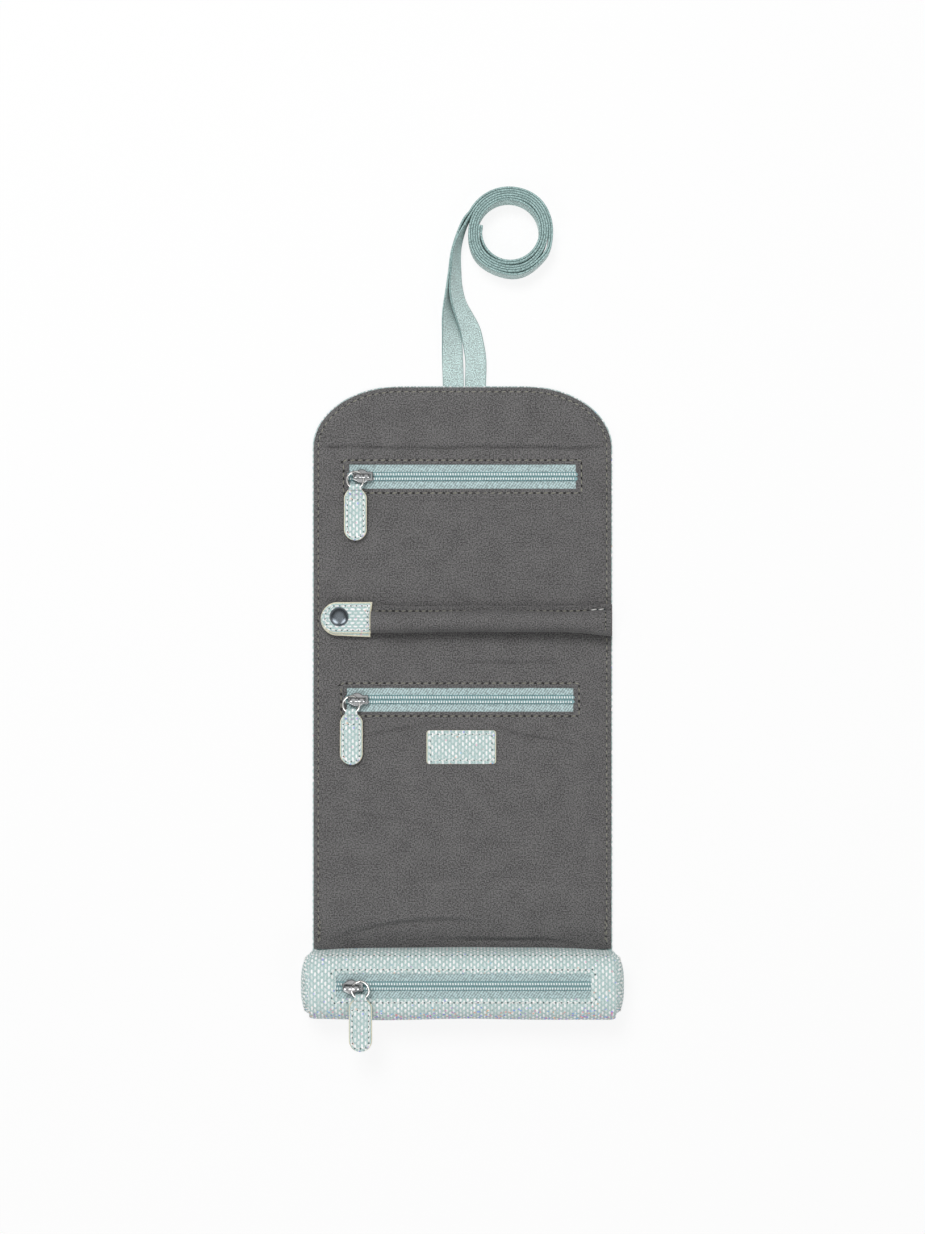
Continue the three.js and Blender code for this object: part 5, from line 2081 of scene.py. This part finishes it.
@dataclass
class Label:
    """The small leather patch sewn to the lining, left bare."""

    body: str = "middle_panel"
    x: float = -0.65
    y: float = -18.35
    width: float = 37.0
    height: float = 18.0
    corner: float = 1.6
    bevel: float = 0.24
    low: float = 5.0
    thickness: float = 0.75
    seam_inset: float = 2.1
    stitches: Seam = Seam(Skin.WHITE_THREAD, 3.7, 2.7, 0.32, 0.8, 0.65, slant=0.2)

    def build(self) -> None:
        """Builds the patch and its white stitches."""
        turn = np.radians(np.linspace(8, 90, 7))
        near = self.corner * (1 - np.cos(turn))
        narrow = self.width / 2 - self.corner * (1 - np.sin(turn))
        middle = np.linspace(near[-1], self.height - near[-1], 9)[1:-1]
        along = np.concatenate([near, middle, (self.height - near)[::-1]]) - self.height / 2
        draft = Draft()
        LeatherTag(
            along=along,
            half=np.concatenate([narrow, np.full(len(middle), self.width / 2), narrow[::-1]]),
            underside=np.full(len(along), self.low),
            thickness=self.thickness,
            place=lambda a, across: (self.x + across, self.y + a),
            bevel=self.bevel,
        ).add(draft)
        loop = Window(self.x, self.y, self.width, self.height).loop(-self.seam_inset, 1.0)
        top = np.full(len(loop), self.low + self.thickness)
        self.stitches.sew(draft, np.column_stack([loop, top]), closed=True)
        draft.fit("leather_label_patch", self.body, "label_patch")


@dataclass
class RingBar:
    """The stuffed suede bar that finger rings slide on to, sewn into the panel's right edge.

    Attributes:
        flange: The section of the seam allowance along the bar: how far behind the seam, and
            how high above the bar's underside.
        flange_cloth: How far round that section each of its points is, on the flat cloth.
    """

    body: str = "ring_bar"
    y: float = 48.45
    left: float = -48.6
    right: float = 79.5
    low: float = 5.3
    diameter: float = 12.0
    flat_end: float = 2.6
    taper: float = 11.0
    left_swell: float = 0.62
    flare: float = 0.75
    end_seam: float = 4.1
    flange: tuple[Flat, ...] = (
        (-1.6, 1.6), (-1.1, 3.4), (-0.3, 3.0), (1.5, 2.95), (2.1, 2.8), (2.4, 2.35),
        (2.4, 1.8), (2.1, 1.5), (-0.6, 1.4),
    )
    flange_cloth: tuple[float, ...] = (0, 1.9, 2.8, 4.6, 5.2, 5.8, 6.3, 6.8, 9.0, 10.6)
    sides: int = 44
    seam: Seam = Seam(Skin.GREY_THREAD, 3.6, 2.2, 0.3, 1.6, 0.9)
    loose_seam: Seam = Seam(Skin.WHITE_THREAD, 3.4, 2.9, 0.33, 0.9, 0.8)
    end_stitches: Seam = Seam(Skin.GREY_THREAD, 2.3, 1.5, 0.24, 1.0, 0.7)

    def slump(self, x: np.ndarray) -> np.ndarray:
        """How much of its height the flange keeps; it is pressed flat into the panel's edge."""
        return 0.45 + 0.55 * ease(self.right - x, 0, 12)

    def spread(self, x: np.ndarray | float) -> np.ndarray:
        """How far the flattened tube spreads towards its sewn-in end."""
        return self.flare * (1 - ease(self.right - x, 0, 24))

    def half_height(self, x: float) -> float:
        """Half the bar's height at a place; it is drawn flat where it is sewn in.

        Args:
            x: The place along the bar.

        Returns:
            The half height.
        """
        from_end = min(1.0, max(0.0, (self.right - x) / self.taper))
        from_tab = min(1.0, max(0.0, (x - self.left) / self.taper))
        at_tab = self.left_swell + (1 - self.left_swell) * math.sqrt(from_tab)
        swell = math.sqrt(1 - (1 - from_end) ** 2) * at_tab
        return (self.flat_end + (self.diameter - self.flat_end) * swell) / 2

    def ring(self, x: float) -> np.ndarray:
        """One cross-section of the bar's skin, with the folds that its stuffing leaves.

        Args:
            x: The place along the bar.

        Returns:
            The section's points.
        """
        height, angle = self.half_height(x), circle(self.sides)
        gather = 0.28 * hump(x, self.right, 14) + 0.05
        ripple = gather * np.sin(5 * angle + 0.11 * x) * np.sin(0.21 * x + 2 * angle)
        ripple += 0.12 * np.sin(x / 11 + 2 * angle) - 0.14
        across, rise = np.cos(angle), np.sin(angle)
        across = np.where(rise < 0, np.sign(across) * np.abs(across) ** 0.55, across)
        width = self.diameter / 2 + ripple - 0.3 + self.spread(x) * np.where(across > 0, 1, 2)
        y = self.y + width * across + 0.3 * math.sin(x / 19 + 0.6)
        z = self.low + height + (height + np.minimum(ripple, 0.0)) * rise
        return np.column_stack([np.full(self.sides, x), y, np.maximum(z, self.low - 0.15)])

    def build(self) -> None:
        """Builds the stuffed skin, the flange along its seam and the stitches."""
        share = 0.5 - 0.5 * np.cos(np.linspace(0, 1, 120) * math.pi)
        xs = self.left + (self.right - self.left) * share
        around = np.arange(self.sides + 1) / self.sides * math.pi * self.diameter
        draft = Draft()
        draft.loft(np.array([self.ring(x) for x in xs]), pairs(xs, around), Skin.SUEDE)
        seam_y = self.y + self.diameter / 2
        xs = np.linspace(self.left, self.right, 100)
        wave = 0.22 * np.sin(xs / 9) + 0.12 * np.sin(xs / 3.7)
        spread, slump = self.spread(xs), self.slump(xs)
        behind, high = np.array(self.flange).T
        x, y = np.meshgrid(xs, seam_y + behind, indexing="ij")
        y += np.outer(wave, behind > 0) + spread[:, None]
        z = self.low + np.outer(slump, high) + 0.3 * wave[:, None]
        draft.loft(np.dstack([x, y, z]), pairs(xs, np.array(self.flange_cloth)), Skin.SUEDE)
        y = seam_y - 0.35 + 0.1 * wave + spread
        line = np.column_stack([xs, y, self.low + 3.05 * slump + 0.3 * wave])
        self.seam.sew(draft, line[1:-10])
        self.loose_seam.sew(draft, line[-10:-3] + [0, 0.25, 0.1])
        self.end_stitches.sew(draft, self.end_line(seam_y))
        made = draft.fit("stuffed_ring_bar", self.body, "ring_bar_cover", "ring_bar_stuffing")

    def end_line(self, seam_y: float) -> np.ndarray:
        """The seam over the bar that holds its flattened end to the panel.

        Args:
            seam_y: Where the seam along the bar is.

        Returns:
            Its points, on the bar's skin.
        """
        x = self.right - self.end_seam
        ring = self.ring(x)
        over = ring[ring[:, 2] > self.low + self.half_height(x)]
        over = over[np.argsort(over[:, 1])]
        y = np.linspace(self.y - 5.0, seam_y - 1.2, 12)
        return np.column_stack([np.full(12, x), y, np.interp(y, over[:, 1], over[:, 2]) + 0.05])


@dataclass
class SnapTab:
    """The leather tab on the bar's end, with its snap: cap and socket on it, stud on the panel.

    Attributes:
        cap: The cap's rim under its dome: how far inside its radius, and how far up.
        stud: The stud's section from its base up: radius, and height above its underside.
    """

    body: str = "snap_tab"
    panel_body: str = "ring_panel"
    right: float = -48.1
    y: float = 50.4
    length: float = 26.7
    width: float = 17.1
    low: float = 7.6
    thickness: float = 2.2
    stitches: Seam = Seam(Skin.WHITE_THREAD, 3.0, 2.1, 0.3, 0.8, 0.7, slant=0.25)
    cap_x: float = -65.4
    cap_y: float = 51.1
    cap_low: float = 9.9
    cap_radius: float = 5.0
    cap_height: float = 1.9
    cap: tuple[Flat, ...] = ((0.25, 0), (0, 0.12), (0, 0.34), (0.14, 0.46), (0.42, 0.42))
    socket_low: float = 5.7
    socket_radius: float = 4.5
    stud_low: float = 5.1
    stud: tuple[Flat, ...] = (
        (4.4, 0), (4.5, 0.15), (4.5, 0.35), (4.3, 0.48), (1.6, 0.5), (1.55, 0.9), (1.9, 1.5),
        (1.85, 2.0), (1.5, 2.25), (0.6, 2.3),
    )

    def leaf(self, draft: Draft, low: float, thick: float, shift: Flat, grow: float) -> None:
        """Adds one of the tab's two leaves.

        Args:
            draft: The mesh that gets it.
            low: Its underside.
            thick: Its thickness.
            shift: How far it lies off the tab's place.
            grow: How much wider it is on each side.
        """
        half = self.width / 2 + grow
        turn = np.radians(np.linspace(6, 90, 15))
        near = half * (1 - np.cos(turn))
        straight = np.append(np.linspace(near[-1], self.length - 0.75, 12)[1:], self.length)
        along = np.concatenate([near, straight])
        left = self.right - self.length

        def place(a: float, across: float) -> Flat:
            """Where the leaf's own coordinates are; its straight end is cut a little hollow.

            Args:
                a: How far along the leaf.
                across: How far to its side.

            Returns:
                X and y.
            """
            hollow = 0.55 * (1 - (across / half) ** 2) + 0.3 * across / half
            cut = hollow * float(ease(a, self.length - 9, self.length))
            droop = shift[1] * (0.4 + a / self.length)
            return (left + a - cut + shift[0], self.y - across + droop)

        LeatherTag(
            along=along,
            half=np.concatenate([half * np.sin(turn), np.full(len(straight), half)]),
            underside=np.full(len(along), low),
            thickness=thick,
            place=place,
            edge=0.7,
        ).add(draft)

    def build(self) -> None:
        """Builds the tab, its stitches and the snap's parts."""
        draft = Draft()
        leaf = self.thickness / 2
        self.leaf(draft, self.low, leaf - 0.04, (-0.5, -1.2), -0.15)
        self.leaf(draft, self.low + leaf, leaf, (0.0, 0.1), -0.25)
        half = self.width / 2 - 2.1
        middle = self.right - self.length + self.width / 2
        turn = np.radians(np.linspace(90, 270, 30))
        arc = np.column_stack([middle + half * np.cos(turn), self.y + half * np.sin(turn)])
        inside = self.right - 2.2
        path = np.vstack([(inside, self.y + half), arc, (inside, self.y - half)])
        top = np.full(len(path), self.low + self.thickness)
        self.stitches.sew(draft, np.column_stack([path, top]), closed=True)
        draft.fit("leather_snap_tab", self.body, "snap_tab")
        self.snap()

    def snap(self) -> None:
        """Builds the snap's domed cap, its socket and its stud."""
        radius, low = self.cap_radius, self.cap_low
        profile = [(radius - inside, low + up) for inside, up in self.cap]
        for a in np.radians([6, 14, 22, 30, 38, 46, 54, 62, 70, 77, 83, 88]):
            rise = (self.cap_height - 0.5) * math.sin(a)
            profile.append((radius * 0.9 * math.cos(a), low + 0.5 + rise))
        cap = Draft()
        cap.turned(self.cap_x, self.cap_y, profile, Skin.GUNMETAL, 64)
        cap.fit("domed_snap_cap", self.body, "snap_cap", sharp=35)
        rim, low, high = self.socket_radius, self.socket_low, self.low - 0.1
        profile = [(2.5, low), (rim - 0.2, low), (rim, low + 0.2)]
        profile += [(rim, high - 0.3), (rim - 0.3, high), (2.4, high)]
        reach, height = np.array(profile).T
        turn = circle(40)[:, None]
        x, y = self.cap_x + reach * np.cos(turn), self.cap_y - reach * np.sin(turn)
        socket = Draft()
        rings = np.dstack([x, y, np.broadcast_to(height, x.shape)])
        flat = pairs(np.arange(41), np.arange(len(profile) + 1))
        socket.hoop(rings, flat, Skin.GUNMETAL)
        socket.fit("snap_socket_ring", self.body, "snap_socket", sharp=35)
        profile = [(radius, self.stud_low + up) for radius, up in self.stud]
        stud = Draft()
        stud.turned(self.cap_x, self.cap_y, profile, Skin.GUNMETAL, 40)
        stud.fit("snap_stud_knob", self.panel_body, "snap_stud", sharp=35)


@dataclass
class Pouch:
    """The padded zip pouch: a soft tube of the printed leather with two bulging ends.

    Attributes:
        window_steps: Where the window's edge has rows of points, as distances outside it.
        window_seam: How far outside the window its seam runs, and the radius of its corners.
        hem: How far the leather turns down at the window, and how far from it that starts.
        seam_groove: The depth and the width of the dip along that seam.
        rim: How far the leather is drawn in at the tube's two ends, and how soon that fades.
        end_levels: The start of a bulging end, tucked into the tube: how far out of the tube,
            and its size as a share of the tube's section.
    """

    body: str = "pouch"
    centre: float = -142.1
    depth: float = 37.1
    height: float = 29.0
    half: float = 80.0
    squareness: float = 2.8
    leather: float = 1.1
    bulge: float = 4.9
    end_gap: float = 0.2
    window: Window = Window(0.5, -140.75, 132.6)
    window_corner: float = 1.9
    window_steps: tuple[float, ...] = (-1.9, -1.4, -0.95, -0.5, -0.02, 0.5, 1.2, 2.2)
    window_seam: Flat = (2.0, 2.4)
    hem: Flat = (0.75, 1.3)
    seam_groove: Flat = (0.22, 0.7)
    rim: Flat = (0.7, 0.9)
    end_levels: tuple[Flat, ...] = (
        (-2.6, 0.93), (-0.9, 0.96), (-0.25, 0.95), (0.1, 0.9), (0.35, 0.86),
    )
    column_gap: float = 2.4
    back_seam: float = -125.7
    window_stitches: Seam = Seam(Skin.WHITE_THREAD, 3.1, 2.3, 0.38, 1.0, 0.8, slant=0.35)
    back_stitches: Seam = Seam(Skin.WHITE_THREAD, 2.7, 1.3, 0.22, 1.0, 0.6, slant=0.2)
    end_stitches: Seam = Seam(Skin.WHITE_THREAD, 2.4, 1.6, 0.26, 0.8, 0.36, slant=1.1)

    @property
    def middle(self) -> np.ndarray:
        """The middle of the tube's section, y and z."""
        return np.array([self.centre, self.height / 2])

    def section(self, angle: np.ndarray, inset: float = 0.0) -> np.ndarray:
        """The tube's outline at some angles round it.

        Args:
            angle: Angles, from the back edge upwards.
            inset: How far inside the outside.

        Returns:
            Y and z at each angle.
        """
        way = np.column_stack([np.cos(angle), np.sin(angle)])
        reach = np.array([self.depth, self.height]) / 2 - inset
        return self.middle + reach * np.sign(way) * np.abs(way) ** (2 / self.squareness)

    def angle_at(self, y: float) -> float:
        """The angle at which the tube's top has this y."""
        share = (y - self.centre) / (self.depth / 2)
        return math.acos(math.copysign(abs(share) ** (self.squareness / 2), share))

    def dents(self, x: np.ndarray, angle: np.ndarray) -> np.ndarray:
        """How far the soft leather sinks in at a place on the tube.

        Args:
            x: Places along the pouch.
            angle: Angles round it.

        Returns:
            The depth at each.
        """
        slow = np.sin(x / 21 + angle * 1.7) * np.sin(x / 33 - angle + 1)
        slow += 0.5 * np.sin(x / 11 + angle * 3)
        round_back = hump(np.minimum(angle, TURN - angle), 0, 0.75)
        drawn = np.maximum(0, (np.abs(x) - 38) / 42) ** 2 * round_back
        front = hump(angle, math.pi, 0.7) * np.sin(x / 17 + 0.7)
        dent = 0.3 + 0.22 * slow * (1 - 0.8 * hump(angle, 1.45, 0.55))
        return dent - 0.15 * hump(angle, -0.05, 0.3) + 2.1 * drawn + 0.25 * front

    def angles(self) -> np.ndarray:
        """The angles of the skin's columns of points, with the window's edges among them.

        Returns:
            The angles, sorted.
        """
        reach = self.window.height / 2
        edges = [
            self.angle_at(self.window.y + side * (reach + step))
            for side in (1, -1)
            for step in self.window_steps
        ]
        base = [a for a in circle(92) if min(abs(a - edge) for edge in edges) > 0.025]
        return np.array(sorted(base + edges))

    def rows(self) -> np.ndarray:
        """The places along the pouch of the skin's rows of points.

        Returns:
            The places, from left to right.
        """
        reach = self.window.length / 2
        fixed = [side * (self.half - inset) for side in (1, -1) for inset in (0, 0.6, 1.6)]
        for side in (1, -1):
            fixed += [self.window.x + side * (reach + step) for step in self.window_steps]
        return filled(sorted(fixed), self.column_gap)

    def skins(self, x: np.ndarray, angle: np.ndarray) -> tuple[np.ndarray, np.ndarray]:
        """The outside and the inside of the tube, with square corners to its window.

        Args:
            x: Places along the pouch, one for each row and column of points.
            angle: Angles round it, likewise.

        Returns:
            The two grids of points.
        """
        at = self.section(angle[0])
        gap = self.window.gap(x, at[:, 0])
        over = at[:, 1] > self.height / 2
        drawn = self.rim[0] * np.exp(-((self.half - np.abs(x)) / self.rim[1]))
        sewn = self.hem[0] * (1 - ease(gap, 0, self.hem[1])) * (gap > -1)
        sewn += self.seam_groove[0] * hump(gap, self.window_seam[0], self.seam_groove[1])
        dent = self.dents(x, angle) + drawn + np.where(over, sewn, 0)
        inward = self.middle - at
        inward = inward / np.linalg.norm(inward, axis=1)[:, None]
        inward = np.where((over & (gap < 3))[..., None], [0.0, -1.0], inward)
        place = at + inward * dent[..., None]
        place[..., 1] = np.maximum(place[..., 1], 0.02)
        return np.dstack([x, place]), np.dstack([x, place + inward * self.leather])

    def shell(self) -> None:
        """Builds the leather tube with its zip window turned under, and its seams."""
        xs, angle = self.rows(), self.angles()
        outline = self.section(angle)
        around = travel(np.vstack([outline, outline[:1]]))
        outer, inner = self.skins(*np.meshgrid(xs, angle, indexing="ij"))
        middle = (outer[:-1] + np.roll(outer, -1, axis=1)[1:]) / 2
        inside = self.window.gap(middle[..., 0], middle[..., 1]) < 0
        kept = ~(inside & (middle[..., 2] > self.height / 2))
        for skin in (outer, inner):
            upper = skin[..., 2] > self.height / 2
            moved = self.window.rounded_corners(skin[..., 0], skin[..., 1], self.window_corner)
            for axis in (0, 1):
                skin[..., axis] = np.where(upper, moved[axis], skin[..., axis])
        columns = len(angle)
        cells, flats = [], []
        for i, j in np.argwhere(kept).tolist():
            near, far, k = i * columns, (i + 1) * columns, (j + 1) % columns
            cells.append((near + k, far + k, far + j, near + j))
            uv = [(xs[i], around[j + 1]), (xs[i + 1], around[j + 1])]
            flats.append([*uv, (xs[i + 1], around[j]), (xs[i], around[j])])
        flat = pairs(xs, around[:-1]).reshape(-1, 2)
        draft = Draft()
        draft.thicken(outer.reshape(-1, 3), inner.reshape(-1, 3), cells, flat, Skin.LEATHER)
        for number, uv in enumerate(flats):
            draft.flats[2 * number : 2 * number + 2] = [uv, uv[::-1]]
        self.seams(draft)
        nodes = ("pouch_shell", "pouch_padding", "pouch_liner")
        made = draft.fit("pouch_leather_shell", self.body, *nodes, sharp=60)

    def surface_at(self, x: np.ndarray, y: np.ndarray) -> tuple[np.ndarray, np.ndarray]:
        """The tube's top at some places, with the way out of it.

        Args:
            x: Places along it.
            y: Places across it.

        Returns:
            The points, and the outward direction at each.
        """
        points, ways = [], []
        for along, across in zip(x, y):
            angle = self.angle_at(across)
            at, ahead = self.section(np.array([angle, angle + 0.02]))
            way = ahead - at
            dent = float(self.dents(along, angle))
            points.append((along, at[0], at[1] - dent - 0.2))
            ways.append(np.array([0.0, way[1], abs(way[0])]) / np.linalg.norm(way))
        return np.array(points), np.array(ways)

    def seams(self, draft: Draft) -> None:
        """Sews white stitches round the window and along the pouch's back edge.

        Args:
            draft: The mesh that gets the stitches.
        """
        points, ways = self.surface_at(*self.window.loop(*self.window_seam).T)
        self.window_stitches.sew(draft, points, ways, closed=True)
        xs = np.linspace(4 - self.half, self.half - 4, 140)
        points, ways = self.surface_at(xs, np.full(140, self.back_seam))
        self.back_stitches.sew(draft, points, ways)

    def end(self, side: int, word: str) -> None:
        """Builds one bulging end, gathered a little where it is sewn to the tube.

        Args:
            side: 1 for the right end, -1 for the left one.
            word: Which of the two it is.
        """
        angle = circle(72)
        out_from = self.section(angle, self.leather) - self.middle
        start = side * (self.half + self.end_gap)
        gather = 0.22 * np.sin(angle * 17) + 0.14 * np.sin(angle * 7 + 1)
        levels = list(self.end_levels)
        for a in np.radians([9, 18, 27, 36, 45, 54, 62, 70, 77, 83, 87]):
            levels.append((0.35 + (self.bulge - 0.4) * math.sin(a), 0.865 * math.cos(a) ** 0.8))
        rings = []
        for out, scale in levels:
            x = start + side * (out + gather * max(0.0, 1 - abs(out) / 3.5) - 0.12)
            rings.append(np.column_stack([x, self.middle + out_from * scale]))
        grid = np.array(rings)
        legs = np.linalg.norm(np.diff(grid[::-1], axis=0), axis=2)
        reach = np.cumsum(np.vstack([np.zeros(len(angle)), legs]), axis=0)[::-1]
        reach = reach + np.linalg.norm(grid[-1, :, 1:] - self.middle, axis=1)
        ways = out_from / np.linalg.norm(out_from, axis=1)[:, None]
        flat = self.middle + ways * reach[..., None]
        flat = np.concatenate([flat, flat[:, :1]], axis=1)
        sewn = grid[7]
        draft = Draft()
        draft.loft(grid[::side], flat[::side], Skin.LEATHER)
        out = sewn - sewn.mean(axis=0)
        out = out / np.linalg.norm(out, axis=1)[:, None] + [side * 0.8, 0, 0]
        self.end_stitches.sew(draft, sewn + out * 0.05, out, closed=True)
        made = draft.fit(f"pouch_{word}_leather_end", self.body, f"pouch_end_{word}")

    def build(self) -> None:
        """Builds the tube and its two ends."""
        self.shell()
        self.end(-1, "left")
        self.end(1, "right")


def main() -> None:
    """Builds the roll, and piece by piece."""
    studio = Studio()
    studio.camera()
    Ties().build()
    panel, pouch = Panel(), Pouch()
    panel.build()
    upper, middle = panel.windows
    zips = (
        Zip("upper", "upper_panel", upper, -53.0, (-56.919, 123.75), 5.9),
        Zip("middle", "middle_panel", middle, -55.4, (-59.088, 4.55), 5.9),
        Zip("pouch", "pouch", pouch.window, -57.05, (-52.817, -141.95), 29.3, tape_top=27.1),
    )
    for piece in (*zips, Label(), RingBar(), SnapTab(), pouch):
        piece.build()
    studio.floor()
    studio.lights()
    bpy.context.scene.view_settings.view_transform = "Standard"


if __name__ == "__main__":
    main()
